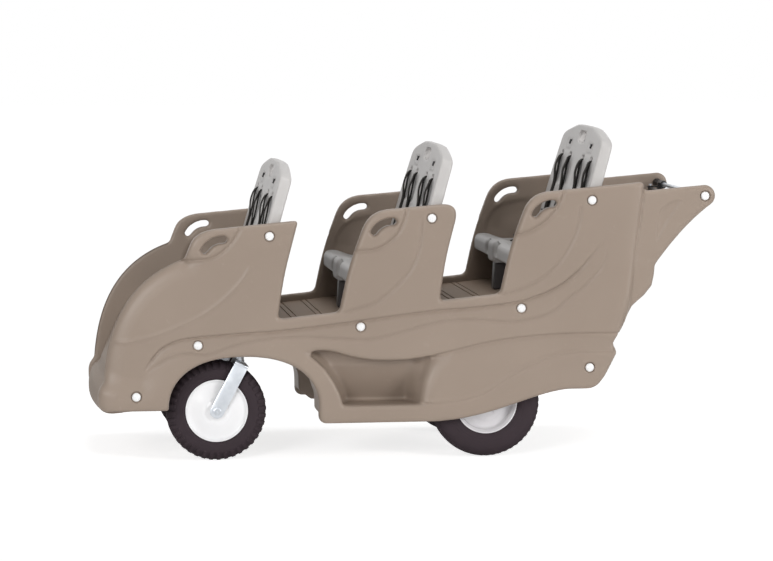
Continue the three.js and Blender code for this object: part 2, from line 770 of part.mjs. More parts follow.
// Half widths as shares of the cabin's, and heights as shares of the top's height above the bar
const backOutlineShares = [
  [0.29, 0.991],
  [0.52, 0.968],
  [0.7, 0.931],
  [0.83, 0.885],
  [0.915, 0.812],
  [0.942, 0.656],
  [0.985, 0.436],
  [1, 0.33],
];
const backRound = 8;
const grabHalf = 47;
const grabHeight = 32;
const grabDrop = 22; // below the top edge
const strapSpread = [0.305 * cabinHalf, 0.71 * cabinHalf]; // strap slots from the centre
const strapSlotHalf = 19;
const strapSlotHeight = 9;
const strapSlotDrop = 102; // below the top edge
const childSpread = (strapSpread[0] + strapSpread[1]) / 2;
function backrest() {
  const drop = backBarZ / Math.cos(recline) + backThickness;
  const top = backTopAboveBar / Math.cos(recline);
  const half = cabinHalf - clearance;
  const rightEdge = backOutlineShares.map(([out, up]) => [out * half, up * top]);
  const leftEdge = rightEdge.map(([y, z]) => [-y, z]).reverse();
  const sideProfile = [...leftEdge, [0, top], ...rightEdge, [half, -drop], [-half, -drop]];
  const frontX = -backBarInset * Math.cos(recline);
  const panel = extruded("x", sideProfile, frontX, frontX + backThickness, backRound);
  const grab = eased([
    [-grabHalf, top - grabDrop, grabHeight / 2],
    [grabHalf, top - grabDrop, grabHeight / 2],
    [grabHalf, top - grabDrop - grabHeight, grabHeight / 2],
    [-grabHalf, top - grabDrop - grabHeight, grabHeight / 2],
  ]);
  const strapSlots = [-1, 1].flatMap((side) =>
    strapSpread.map((y) =>
      block(
        [-overrun, overrun],
        [side * y - strapSlotHalf, side * y + strapSlotHalf],
        [top - strapSlotDrop - strapSlotHeight, top - strapSlotDrop],
      ),
    ),
  );
  const channel = holeRadius(barRadius);
  const leveled = cut(
    panel,
    extruded("x", grab, -overrun, overrun),
    ...strapSlots,
  ).rotateY(recline);
  const underFloor = [
    [-wallHeight, (backBarX - wallHeight) * floorSlope + clearance - backBarZ],
    [wallHeight, (backBarX + wallHeight) * floorSlope + clearance - backBarZ],
    [wallHeight, -2 * wallHeight],
    [-wallHeight, -2 * wallHeight],
  ];
  return cut(
    leveled,
    rod(channel, -skirtOuter, skirtOuter),
    block([0, overrun], [-skirtOuter, skirtOuter], [-channel, channel]),
    extruded("y", underFloor, -skirtOuter, skirtOuter),
  );
}

// Harness for one child: two shoulder straps from the slots down to a buckle, and a crotch strap over the lip
const strapWidth = 30;
const strapThickness = 4;
const strapBow = 14; // how far the loose webbing stands off the backrest
const strapBowShares = [
  [0.9, 1],
  [0.5, 0.6],
  [0.1, 0.8],
]; // up from the seat to the slot, and of the bow
const strapGap = 1.2; // between the webbing and the backrest
const buckleSize = [46, 40, 16];
function harness() {
  const slotUp = backBarZ + backTopAboveBar - (strapSlotDrop + strapSlotHeight / 2) * Math.cos(recline);
  const face = (z, away) => [backFaceAt(z) - strapGap - away, z];
  const [low, high] = [seatTop + clearance, slotUp];
  const at = (share) => low + share * (high - low);
  const front = [
    face(at(1) - strapSlotHeight, 0),
    ...strapBowShares.map(([up, out]) => face(at(up), out * strapBow)),
  ];
  const rear = backFaceAt(low) - strapGap;
  const outline = [
    ...front.map(([x, z]) => [x - strapThickness, z]),
    [rear - strapWidth / 2, low],
    [rear, low],
    ...front.slice(1).reverse(),
    [front[0][0], front[0][1]],
  ];
  const halfSpread = (strapSpread[1] - strapSpread[0]) / 2;
  const straps = [-1, 1].map((side) =>
    extruded("y", outline, side * halfSpread - strapWidth / 2, side * halfSpread + strapWidth / 2),
  );
  const lapHalf = halfSpread + strapWidth / 2;
  const lap = block([rear - strapWidth, rear], [-lapHalf, lapHalf], [low, low + strapThickness]);
  const crotch = block(
    [seatLipX + seatRound, rear],
    [-strapWidth / 2, strapWidth / 2],
    [low, low + strapThickness],
  );
  const buckleX = rear - strapWidth - buckleSize[0];
  const buckle = block(
    [buckleX, buckleX + buckleSize[0]],
    [-buckleSize[1] / 2, buckleSize[1] / 2],
    [low, low + buckleSize[2]],
  );
  return join(...straps, lap, crotch, buckle);
}

const [seatShape, postShape, backShape, harnessShape] = [benchSeat(), seatPost(), backrest(), harness()];
for (let k = 0; k < rowCount; k++) {
  const bench = new THREE.Group();
  bench.position.set(rowX(k), 0, rowZ(k));
  stroller.add(bench);
  addMesh(bench, `row_${k + 1}_seat`, seatShape, greyPlastic());
  addMesh(bench, `row_${k + 1}_seat_post`, postShape, darkPlastic());
  addMesh(bench, `row_${k + 1}_backrest`, backShape, greyPlastic()).position.set(backBarX, 0, backBarZ);
  for (const [side, y] of [["left", -childSpread], ["right", childSpread]]) {
    addMesh(bench, `row_${k + 1}_${side}_harness`, harnessShape, blackWebbing()).position.y = y;
  }
}

// Caster frame: a channel under the first floor with two stem housings
const beamDepth = 22;
const beamHalfLength = 45;
const beamHalf = wallInner - ledgeDepth - clearance;
const stemRadius = 8;
const housingRadius = 24;
const housingGap = 24; // between the tyre's top and the housing
const housingBottom = frontTyreDiameter + housingGap;
const stemSides = 12;
function beam(x, hangers) {
  const top = (at) => floorAt(at) - panThickness - clearance;
  const [from, to] = [x - beamHalfLength, x + beamHalfLength];
  const base = top(from) - beamDepth;
  const profile = [[from, base], [to, base], [to, top(to)], [from, top(from)]];
  return join(extruded("y", profile, -beamHalf, beamHalf), ...hangers(base));
}
const upright = (radius, low, high, sides = barSides) => rod(radius, low, high, sides).rotateX(Math.PI / 2);
function casterFrame() {
  const housings = (base) =>
    [-1, 1].map((side) => {
      const housing = upright(housingRadius, housingBottom, base + beamDepth / 2, stemSides);
      return placed(housing, pivotX, side * casterSpread, 0);
    });
  const bores = [-1, 1].map((side) =>
    placed(
      upright(holeRadius(stemRadius, stemSides), housingBottom - overrun, firstFloor + overrun, stemSides),
      pivotX,
      side * casterSpread,
      0,
    ),
  );
  return cut(beam(pivotX, housings), ...bores);
}
addMesh(stroller, "caster_frame", casterFrame(), zincSteel());

// Caster fork: a strap bent over the wheel, leant forward from an upright stem
const strapPlate = 6;
const forkGap = 8; // between the tyre and each leg
const forkHalf = frontTyreWidth / 2 + forkGap;
const forkWidth = 44;
const crownGap = 8;
const forkAxleRadius = 6;
const axleSides = 8;
const nutRadius = 14;
const collarRadius = 18;
function casterFork() {
  const reach = frontRadius + crownGap + strapPlate;
  const end = forkWidth / 2;
  const legOutline = [[-end, reach], [end, reach], ...ring(0, 0, end, 7, 0, -Math.PI)];
  const leg = (side) => {
    const [near, far] = [side * forkHalf, side * (forkHalf + strapPlate)].sort((a, b) => a - b);
    return extruded("y", legOutline, near, far);
  };
  const crownOutline = [[-end, reach - strapPlate], [end, reach - strapPlate], [end, reach], [-end, reach]];
  const crown = extruded("y", crownOutline, -forkHalf - strapPlate, forkHalf + strapPlate);
  const leant = join(leg(-1), leg(1), crown).rotateY(forkLean);
  const crownZ = reach * Math.cos(forkLean) - strapPlate;
  const stemTop = floorAt(pivotX) - panThickness - 2 * strapPlate - frontRadius;
  const collarTop = housingBottom - frontRadius - clearance;
  const fork = join(
    leant,
    placed(upright(collarRadius, crownZ - strapPlate, collarTop, stemSides), casterTrail, 0, 0),
    placed(upright(stemRadius, crownZ, stemTop, stemSides), casterTrail, 0, 0),
  );
  const tyreRoom = rod(frontRadius + crownGap / 2, -forkHalf, forkHalf, 2 * stemSides);
  const axleBore = rod(holeRadius(forkAxleRadius, axleSides), -2 * forkHalf, 2 * forkHalf, axleSides);
  return cut(fork, axleBore, tyreRoom);
}

// Front axle bolt with a hexagon head and nut outside the fork legs
const washerRadius = 12;
const washerThickness = 2;
const boltHeadRadius = 10;
const nutThickness = 7;
function frontAxle() {
  const outside = forkHalf + strapPlate + clearance;
  const side = [
    [0, outside + nutThickness],
    [boltHeadRadius, outside + nutThickness],
    [boltHeadRadius, outside + washerThickness],
    [washerRadius, outside + washerThickness],
    [washerRadius, outside],
    [forkAxleRadius, outside],
  ];
  return turned([...side, ...side.map(([r, y]) => [r, -y]).reverse()], axleSides);
}

// Wheels: each profile is [radius, y] for one side, mirrored about the wheel's middle
const mirroredRing = (side) => {
  const full = [...side, ...side.map(([r, y]) => [r, -y]).reverse()];
  return [...full, full[0]];
};
const flatReach = (radius) => radius / Math.cos(Math.PI / wheelSides);
const flangeRadius = 98;
const flangeWidth = 16;
const flangeLip = 6;
const discHalf = 12;
const beadRadius = 90;
const rearBeadRadius = 91;
const beadHalfShare = 0.375; // of the tyre's width

function tyre(radius, width, bead) {
  const wall = radius - bead;
  const crownShares = [
    [0, 0.36],
    [0.45, 0.5],
    [0.85, 0.46],
    [1, 0.26],
  ];
  const side = crownShares.map(([up, out]) => [flatReach(bead + up * wall), out * width]);
  return turned(mirroredRing(side), wheelSides);
}
const hubPlay = 2; // between the hub and each leg
const hubHalf = forkHalf - hubPlay;
const hubRadius = 22;
function frontRim() {
  const bead = flatReach(beadRadius) - clearance;
  const half = beadHalfShare * frontTyreWidth;
  return turned(
    mirroredRing([
      [bead, half],
      [flangeRadius, half + flangeLip],
      [flangeRadius - flangeWidth, half],
      [hubRadius, hubHalf],
      [holeRadius(forkAxleRadius, wheelSides), hubHalf],
    ]),
    wheelSides,
  );
}
const rearAxleRadius = 8;
const rearHubHalf = 38;
function rearRim() {
  const bead = flatReach(rearBeadRadius) - clearance;
  const half = beadHalfShare * rearTyreWidth;
  return turned(
    mirroredRing([
      [bead, half],
      [flangeRadius, half + flangeLip],
      [flangeRadius - flangeWidth, discHalf],
      [hubRadius, rearHubHalf],
      [holeRadius(rearAxleRadius, wheelSides), rearHubHalf],
    ]),
    wheelSides,
  );
}

const [forkShape, frontAxleShape, frontRimShape] = [casterFork(), frontAxle(), frontRim()];
const frontTyreShape = tyre(frontRadius, frontTyreWidth, beadRadius);
const rearRimShape = rearRim();
const rearTyreShape = tyre(rearRadius, rearTyreWidth, rearBeadRadius);
for (const [side, sign] of [["left", -1], ["right", 1]]) {
  const caster = new THREE.Group();
  caster.position.set(pivotX - casterTrail, sign * casterSpread, frontRadius);
  stroller.add(caster);
  addMesh(caster, `${side}_caster_fork`, forkShape, zincSteel());
  addMesh(caster, `${side}_front_axle`, frontAxleShape, zincSteel());
  addMesh(caster, `${side}_front_rim`, frontRimShape, whitePlastic());
  addMesh(caster, `${side}_front_tyre`, frontTyreShape, blackRubber());
  const wheel = new THREE.Group();
  wheel.position.set(rearAxleX, sign * rearWheelSpread, rearRadius);
  stroller.add(wheel);
  addMesh(wheel, `${side}_rear_rim`, rearRimShape, whiteEnamel());
  addMesh(wheel, `${side}_rear_tyre`, rearTyreShape, blackRubber());
}

// Rear axle frame: a channel under the last floor with two drop plates, and ears for the brake pivot
const plateInset = 82; // drop plate inside the wheel's middle
const plateY = rearWheelSpread - plateInset;
const plateThickness = 8;
const plateFootHalf = 24;
const brakeAngle = THREE.MathUtils.degToRad(50);
const padGap = 9;
const padThickness = 14;
const brakeArm = 100;
const brakeTubeRadius = 8;
const brakePinRadius = 5;
const earRadius = 15;
const radial = (distance) => [
  rearAxleX + distance * Math.cos(brakeAngle),
  rearRadius + distance * Math.sin(brakeAngle),
];
const [padX, padZ] = radial(rearRadius + padGap + padThickness / 2);
const brakePivotX = padX - brakeArm * Math.sin(brakeAngle);
const brakePivotZ = padZ + brakeArm * Math.cos(brakeAngle);
function rearAxleFrame() {
  const hangers = (base) =>
    [-1, 1].flatMap((side) => {
      const [near, far] = [side * plateY - plateThickness / 2, side * plateY + plateThickness / 2];
      const plate = [
        [rearAxleX - beamHalfLength, base + plateThickness],
        [rearAxleX - beamHalfLength, base - beamDepth],
        ...ring(rearAxleX, rearRadius, plateFootHalf, 7, -Math.PI, 0),
        [rearAxleX + beamHalfLength, base - beamDepth],
        [rearAxleX + beamHalfLength, base + plateThickness],
      ];
      const ear = [
        [rearAxleX, brakePivotZ - earRadius],
        ...ring(brakePivotX, brakePivotZ, earRadius, 7, -Math.PI / 2, Math.PI / 2),
        [rearAxleX, brakePivotZ + earRadius],
      ];
      return [extruded("y", plate, near, far), extruded("y", ear, near, far)];
    });
  const axleBore = rod(holeRadius(rearAxleRadius, axleSides), -skirtOuter, skirtOuter, axleSides);
  const pinBore = rod(holeRadius(brakePinRadius), -skirtOuter, skirtOuter);
  return cut(
    beam(rearAxleX, hangers),
    placed(axleBore, rearAxleX, 0, rearRadius),
    placed(pinBore, brakePivotX, 0, brakePivotZ),
  );
}
addMesh(stroller, "rear_axle_frame", rearAxleFrame(), zincSteel());

// Rear axle with inner collars, and a nut on each end
const collarGap = rearWheelSpread - rearHubHalf - clearance;
const axleTip = 2; // the axle's end stands this far out of its nut
const axleEnd = rearWheelSpread + rearHubHalf + clearance + nutThickness + axleTip;
const axleCollar = 5; // the inner collars stand this far proud of the axle
function rearAxle() {
  const side = [
    [0, axleEnd],
    [rearAxleRadius, axleEnd],
    [rearAxleRadius, collarGap],
    [rearAxleRadius + axleCollar, collarGap],
    [rearAxleRadius + axleCollar, collarGap - nutThickness],
    [rearAxleRadius, collarGap - nutThickness],
  ];
  return turned([...side, ...side.map(([r, y]) => [r, -y]).reverse()], axleSides);
}
addMesh(stroller, "rear_axle", rearAxle(), zincSteel()).position.set(rearAxleX, 0, rearRadius);
const nutShape = turned(
  mirroredRing([[holeRadius(rearAxleRadius, axleSides), nutThickness / 2], [nutRadius, nutThickness / 2]]),
  axleSides,
);
const nutPlace = rearWheelSpread + rearHubHalf + clearance + nutThickness / 2;
for (const [side, sign] of [["left", -1], ["right", 1]]) {
  const nut = addMesh(stroller, `${side}_axle_nut`, nutShape, zincSteel());
  nut.position.set(rearAxleX, sign * nutPlace, rearRadius);
}

// Brake bar: a tube behind the rear tyres with a pad for each, swung by two arms on a pivot pin
const armPlate = 6;
const padHalf = 26;
const padWidth = 60;
function brakeBar() {
  const [tubeX, tubeZ] = radial(rearRadius + padGap + padThickness + brakeTubeRadius);
  const toPivot = (x, z) => [x - brakePivotX, z - brakePivotZ];
  const [tx, tz] = toPivot(tubeX, tubeZ);
  const tubeHalf = rearWheelSpread + padWidth / 2;
  const parts = [placed(rod(brakeTubeRadius, -tubeHalf, tubeHalf), tx, 0, tz)];
  const [wheelX, wheelZ] = toPivot(rearAxleX, rearRadius);
  const padArc = (radius, from, to) => ring(wheelX, wheelZ, radius, 5, from, to);
  for (const side of [-1, 1]) {
    const armY = side * (plateY + plateThickness / 2 + clearance + armPlate / 2);
    const along = new THREE.Vector2(tx, tz).normalize();
    const across = new THREE.Vector2(-along.y, along.x).multiplyScalar(earRadius * 0.8);
    const armOutlineXZ = [
      [across.x - along.x * earRadius, across.y - along.y * earRadius],
      [tx + across.x, tz + across.y],
      [tx - across.x, tz - across.y],
      [-across.x - along.x * earRadius, -across.y - along.y * earRadius],
    ];
    parts.push(extruded("y", armOutlineXZ, armY - armPlate / 2, armY + armPlate / 2));
    const spread = padHalf / rearRadius;
    const padInner = padArc(rearRadius + padGap, brakeAngle - spread, brakeAngle + spread);
    const padOuter = padArc(
      rearRadius + padGap + padThickness + brakeTubeRadius,
      brakeAngle + spread,
      brakeAngle - spread,
    );
    const padY = side * rearWheelSpread;
    parts.push(extruded("y", [...padInner, ...padOuter], padY - padWidth / 2, padY + padWidth / 2));
  }
  return cut(join(...parts), rod(holeRadius(brakePinRadius), -skirtOuter, skirtOuter));
}
addMesh(stroller, "brake_bar", brakeBar(), darkPlastic()).position.set(brakePivotX, 0, brakePivotZ);
const pinTip = 4;
const pinHalf = plateY + plateThickness / 2 + armPlate + pinTip;
addMesh(stroller, "brake_pivot_pin", rod(brakePinRadius, -pinHalf, pinHalf), zincSteel()).position.set(
  brakePivotX,
  0,
  brakePivotZ,
);

// Push bar sleeves: a black cone against each arm
const sleeveLength = 24;
const sleeveFoot = 16;
const sleeveShoulder = 15;
const sleeveLip = 6;
const sleeveTip = 10;
const sleeveShape = turned(
  [
    [holeRadius(pushRadius), 0],
    [sleeveFoot, 0],
    [sleeveShoulder, sleeveLip],
    [sleeveTip, sleeveLength],
    [holeRadius(pushRadius), sleeveLength],
    [holeRadius(pushRadius), 0],
  ],
  barSides,
);
for (const [side, sign] of [["left", -1], ["right", 1]]) {
  const sleeve = addMesh(stroller, `${side}_push_bar_sleeve`, sleeveShape, darkPlastic());
  sleeve.position.set(pushBar.x, sign * cabinHalf, pushBar.z);
  sleeve.scale.y = -sign;
}

// Brake lever at the rider's right: a clamp on the push bar, a pin and a blade ahead of the bar
const clampRadius = 13;
const clampFrom = cabinHalf - 96;
const clampTo = cabinHalf - 46;
const leverReach = 40;
const leverLength = 112;
const leverHalf = 5;
const leverHeight = 8;
const leverRound = 1;
const leverPinRadius = 3;
const leverPinLength = 22;
const leverPinHeadRadius = 6;
const leverPinHead = 3;
const leverPinDrop = 6; // the pin's end below the blade
const leverPinY = cabinHalf - 74;
const earHalf = 9;
const earReach = 5; // outer face of each ear from the blade
const bridgeReach = 4;
const leverZ = -14; // lever plane below the push bar
function leverBracket() {
  const clamp = rod(clampRadius, clampFrom, clampTo);
  const ears = [1, -1].map((side) => {
    const faces = [clearance, earReach].map((away) => leverZ + side * (leverHeight / 2 + away));
    const [low, high] = faces.sort((a, b) => a - b);
    return block([-leverReach - earHalf, 0], [leverPinY - earHalf, leverPinY + earHalf], [low, high]);
  });
  const bridge = block(
    [-clampRadius - bridgeReach, 0],
    [leverPinY - earHalf, leverPinY + earHalf],
    [leverZ - leverHeight, clampRadius / 2],
  );
  return cut(
    join(clamp, ...ears, bridge),
    rod(holeRadius(pushRadius), 0, skirtOuter),
    placed(upright(holeRadius(leverPinRadius), -overrun, 0), -leverReach, leverPinY, 0),
  );
}
// In half widths across, lengths along, and lengths for each corner's reach
const bladeShares = [
  [-1.6, 0.0714, 0.0446],
  [1.6, 0.0714, 0.0446],
  [1.2, -0.3, 0.2],
  [1, -1, 0.0446],
  [-1.4, -1.0446, 0.0446],
  [-1.2, -0.4, 0.2],
];
function leverBlade() {
  const corners = bladeShares.map(([across, along, reach]) => [
    across * leverHalf,
    along * leverLength,
    reach * leverLength,
  ]);
  const blade = extruded("z", eased(corners), -leverHeight / 2, leverHeight / 2, leverRound);
  return cut(blade, upright(holeRadius(leverPinRadius), -overrun, overrun));
}
const leverGroup = new THREE.Group();
leverGroup.position.set(pushBar.x, 0, pushBar.z);
stroller.add(leverGroup);
addMesh(leverGroup, "brake_lever_bracket", leverBracket(), darkPlastic());
addMesh(leverGroup, "brake_lever", leverBlade(), darkPlastic()).position.set(-leverReach, leverPinY, leverZ);
const leverPin = turned(
  [
    [0, 0],
    [leverPinRadius, 0],
    [leverPinRadius, leverPinLength],
    [leverPinHeadRadius, leverPinLength],
    [leverPinHeadRadius, leverPinLength + leverPinHead],
    [0, leverPinLength + leverPinHead],
  ],
  barSides,
);
addMesh(leverGroup, "brake_lever_pin", leverPin.rotateX(Math.PI / 2), zincSteel()).position.set(
  -leverReach,
  leverPinY,
  leverZ - leverHeight / 2 - leverPinDrop,
);

export default stroller;
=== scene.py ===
import json
import math

import bmesh
import bpy
import numpy as np
from mathutils import Matrix, Vector


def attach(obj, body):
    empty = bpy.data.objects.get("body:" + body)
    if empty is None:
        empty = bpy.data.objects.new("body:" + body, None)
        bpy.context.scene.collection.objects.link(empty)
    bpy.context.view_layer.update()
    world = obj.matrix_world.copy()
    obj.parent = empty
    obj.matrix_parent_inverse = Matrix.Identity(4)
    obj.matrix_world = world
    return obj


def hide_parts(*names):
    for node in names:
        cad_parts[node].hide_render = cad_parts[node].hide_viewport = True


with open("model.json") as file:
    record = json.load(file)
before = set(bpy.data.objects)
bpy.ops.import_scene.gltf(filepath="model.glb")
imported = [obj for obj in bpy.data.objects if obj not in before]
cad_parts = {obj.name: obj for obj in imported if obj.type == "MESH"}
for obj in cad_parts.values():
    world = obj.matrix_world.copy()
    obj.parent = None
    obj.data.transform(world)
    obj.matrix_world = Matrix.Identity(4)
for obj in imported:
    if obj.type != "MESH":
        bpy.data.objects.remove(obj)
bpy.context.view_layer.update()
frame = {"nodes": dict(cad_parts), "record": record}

# Camera, lights and floor
# A long lens stands ten metres off the stroller's left side, a little above it and ahead of the nose,
# over a white floor that keeps a soft shadow under the wheels.
lens = bpy.data.cameras.new("photo_camera")
lens.sensor_width = 36
lens.lens = 143.44
lens.clip_end = 60
camera = bpy.data.objects.new("photo_camera", lens)
camera.location = (-1.3711, -9.7725, 1.4519)
LOOK_DOWN, LOOK_ASIDE = 5.33, -7.87
camera.rotation_euler = (math.radians(90 - LOOK_DOWN), 0, math.radians(LOOK_ASIDE))
bpy.context.scene.collection.objects.link(camera)
bpy.context.scene.camera = camera
bpy.context.scene.view_settings.view_transform = "Standard"


def feed(tree, node, inputs):
    """Sets each named input of a node to a value, or links it to the output that feeds it."""
    for name, value in inputs.items():
        if isinstance(value, bpy.types.NodeSocket):
            tree.links.new(value, node.inputs[name])
        else:
            node.inputs[name].default_value = value


def add(tree, kind, inputs, **settings):
    """Adds a shader node of that kind with its settings and inputs."""
    node = tree.nodes.new(kind)
    for name, setting in settings.items():
        setattr(node, name, setting)
    feed(tree, node, inputs)
    return node


def mixed(tree, share, first, second):
    """Two shaders mixed by a share, which is 0 for the first alone."""
    ends = {"Fac": share.outputs[0], 1: first.outputs[0], 2: second.outputs[0]}
    return add(tree, "ShaderNodeMixShader", ends)


sky = bpy.data.worlds.new("white_room")
bpy.context.scene.world = sky
sky.use_nodes = True
room = sky.node_tree
room.nodes.clear()
room_light = add(room, "ShaderNodeBackground", {"Strength": 0.24})
room_white = add(room, "ShaderNodeBackground", {"Color": (1, 1, 1, 1), "Strength": 1.0})
ray = add(room, "ShaderNodeLightPath", {}).outputs
seen_rays = {0: ray["Is Camera Ray"], 1: ray["Is Glossy Ray"]}
either = add(room, "ShaderNodeMath", seen_rays, operation="MAXIMUM")
all_rays = {0: either.outputs[0], 1: ray["Is Transmission Ray"]}
any_of = add(room, "ShaderNodeMath", all_rays, operation="MAXIMUM")
add(room, "ShaderNodeOutputWorld", {"Surface": mixed(room, any_of, room_light, room_white).outputs[0]})

for name, place, size, watts in (
    ("left_softbox", (-3.7, -6.3, 2.5), 2.4, 202),
    ("right_softbox", (5.4, -5.4, 2.5), 2.4, 234),
    ("top_softbox", (0.2, -0.3, 5.2), 3.0, 98),
):
    lamp = bpy.data.lights.new(name, "AREA")
    lamp.size = size
    lamp.energy = watts
    softbox = bpy.data.objects.new(name, lamp)
    softbox.location = place
    softbox.rotation_euler = (Vector((0, 0, 0.4)) - Vector(place)).to_track_quat("-Z", "Y").to_euler()
    bpy.context.scene.collection.objects.link(softbox)


def new_material(name):
    """A material, its node tree and its shader."""
    material = bpy.data.materials.new(name)
    material.use_nodes = True
    return material, material.node_tree, material.node_tree.nodes["Principled BSDF"]


def finished(mesh_maker, name, material=None):
    """The bmesh as an object of the scene, with smooth faces and its material."""
    mesh = bpy.data.meshes.new(name)
    mesh_maker.to_mesh(mesh)
    mesh_maker.free()
    piece = bpy.data.objects.new(name, mesh)
    bpy.context.scene.collection.objects.link(piece)
    mesh.shade_smooth()
    if material:
        mesh.materials.append(material)
    return piece


floor_mesh = bmesh.new()
bmesh.ops.create_grid(floor_mesh, x_segments=1, y_segments=1, size=30)
floor = finished(floor_mesh, "studio_floor")
floor_paint, floor_tree, floor_shader = new_material("white_floor")
floor_look = {"Base Color": (0.93, 0.93, 0.93, 1), "Roughness": 0.9, "Specular IOR Level": 0.0}
feed(floor_tree, floor_shader, floor_look)
glow = add(floor_tree, "ShaderNodeEmission", {"Strength": 3.3})
camera_ray = add(floor_tree, "ShaderNodeLightPath", {}).outputs["Is Camera Ray"]
GLOW_SEEN, GLOW_ALWAYS = 0.18, 0.05
glow_ends = {0: camera_ray, 1: GLOW_SEEN, 2: GLOW_ALWAYS}
seen = add(floor_tree, "ShaderNodeMath", glow_ends, operation="MULTIPLY_ADD")
near_floor = mixed(floor_tree, seen, floor_shader, glow)
floor_place = add(floor_tree, "ShaderNodeTexCoord", {})
floor_reach = add(floor_tree, "ShaderNodeVectorMath", {0: floor_place.outputs["Object"]}, operation="LENGTH")
FAR_START, FAR_END = 1.0, 2.6
far_share = add(
    floor_tree, "ShaderNodeMapRange",
    {"From Min": FAR_START, "From Max": FAR_END, "Value": floor_reach.outputs["Value"]},
    interpolation_type="SMOOTHERSTEP",
)
far_ends = {0: camera_ray, 1: far_share.outputs["Result"]}
far_seen = add(floor_tree, "ShaderNodeMath", far_ends, operation="MULTIPLY")
far_white = add(floor_tree, "ShaderNodeEmission", {"Strength": 1.02})
whole_floor = mixed(floor_tree, far_seen, near_floor, far_white)
feed(floor_tree, floor_tree.nodes["Material Output"], {"Surface": whole_floor.outputs[0]})
floor.data.materials.append(floor_paint)

# Side walls
# Two hollow walls of tan polyethylene, rotationally moulded in one piece each, with every edge rounded by
# the mould. Waist groove, skirt, slot seats and the fender's crease are part of the moulding.
PITCH, RISE = 0.506, 0.051
FIRST_ROW, FIRST_FLOOR = -0.736, 0.392
NOSE, NOSE_REACH, TAIL_REACH = -0.976, 0.240, 0.700
WALL_HEIGHT, SILL = 0.357, 0.023
INNER, OUTER, FLARE = 0.328, 0.358, 0.017
SKIRT_FOOT, NOSE_FOOT = 0.122, 0.170
REAR_AXLE, REAR_RADIUS, FRONT_RADIUS = 0.253, 0.172, 0.156
LAST_ROW, LAST_FLOOR = FIRST_ROW + 2 * PITCH, FIRST_FLOOR + 2 * RISE


def floor_at(x):
    return FIRST_FLOOR + (x - FIRST_ROW) * RISE / PITCH


def eased(corners, steps=8):
    """An outline whose corners (x, z, reach) are turned into curves that start that far from the corner."""
    out = []
    for i, (x, z, *reach) in enumerate(corners):
        if not reach or not reach[0]:
            out.append((x, z))
            continue
        corner = Vector((x, z))
        ends = []
        for other in (corners[i - 1], corners[(i + 1) % len(corners)]):
            away = Vector(other[:2]) - corner
            ends.append(corner + away.normalized() * min(reach[0], 0.48 * away.length))
        for count in range(steps + 1):
            t = count / steps
            point = ends[0] * (1 - t) ** 2 + corner * (2 * t * (1 - t)) + ends[1] * t * t
            out.append((point.x, point.y))
    return out


def bend(steps, a, b, c, d):
    """A cubic curve from a to d, pulled towards b and c."""
    a, b, c, d = (Vector(p[:2]) for p in (a, b, c, d))
    shares = [i / steps for i in range(steps + 1)]
    curve = [a * (1 - t) ** 3 + b * 3 * t * (1 - t) ** 2 + c * 3 * t * t * (1 - t) + d * t**3 for t in shares]
    return [(p.x, p.y) for p in curve]


def drawn(points, steps=6):
    """A smooth line through the points."""
    pts = [Vector(p) for p in points]
    pts = [2 * pts[0] - pts[1], *pts, 2 * pts[-1] - pts[-2]]
    out = []
    for a, b, c, d in zip(pts, pts[1:], pts[2:], pts[3:]):
        for i in range(steps):
            t = i / steps
            p = b * 2 + (c - a) * t + (2 * a - 5 * b + 4 * c - d) * t * t + (3 * b - a - 3 * c + d) * t**3
            out.append(tuple(p / 2))
    return out + [tuple(pts[-2])]


def wall_point(k, along, up, reach=0):
    return FIRST_ROW + k * PITCH + along * PITCH, FIRST_FLOOR + k * RISE + up * WALL_HEIGHT, reach * PITCH


def sill_point(k, along, reach):
    x = FIRST_ROW + k * PITCH + along * PITCH
    return x, floor_at(x) + SILL, reach * PITCH


def tail_point(along, up, reach=0):
    return LAST_ROW + along * TAIL_REACH, up * LAST_FLOOR, reach * TAIL_REACH


def arm_point(along, up, reach=0):
    return LAST_ROW + along * TAIL_REACH, LAST_FLOOR + up * WALL_HEIGHT, reach * TAIL_REACH


ARCH_X, ARCH_HALF, ARCH_TOP, ARCH_SQUARE = -0.514, 0.233, 0.332, 2 / 2.3
arch = []
for i in range(49):
    turn = math.pi * (1 - i / 48)
    c, s = math.cos(turn), max(math.sin(turn), 0)
    arch.append((
        ARCH_X + ARCH_HALF * math.copysign(abs(c) ** ARCH_SQUARE, c),
        NOSE_FOOT + (ARCH_TOP - NOSE_FOOT) * s ** ARCH_SQUARE,
    ))
sweep = [
    (REAR_AXLE + along * 2 * REAR_RADIUS, SKIRT_FOOT + up * (0.439 * LAST_FLOOR - SKIRT_FOOT))
    for along, up in ((-0.55, 0), (0.009, 0), (0.387, 0.9), (0.735, 1))
]
rows = [wall_point(2, 0.933, 1.036, 0.03)]
for k in (2, 1, 0):
    if k < 2:
        rows += [sill_point(k, 0.651, 0.016), wall_point(k, 0.689, 0.532, 0.12)]
        rows.append(wall_point(k, 0.778, 1.012, 0.12 if k else 0.025))
    if k:
        rows += [wall_point(k, 0.213, 0.945, 0.12), wall_point(k, 0.091, 0.482, 0.15)]
        rows.append(sill_point(k, 0.028, 0.03))
shoulder = wall_point(0, 0.081, 0.686, 0.01)
fender = bend(
    28,
    shoulder,
    (NOSE + 0.470 * NOSE_REACH, 1.48 * FIRST_FLOOR),
    (NOSE + 0.178 * NOSE_REACH, 1.13 * FIRST_FLOOR),
    (NOSE + 0.128 * NOSE_REACH, 0.668 * FIRST_FLOOR),
)
tail = [(0.446, 0.439, 0.037), (0.489, 0.506, 0.03), (0.55, 0.674, 0.02), (0.53, 0.722, 0.007)]
tail += [(0.563, 0.802, 0.012), (0.6, 0.984, 0.06)]
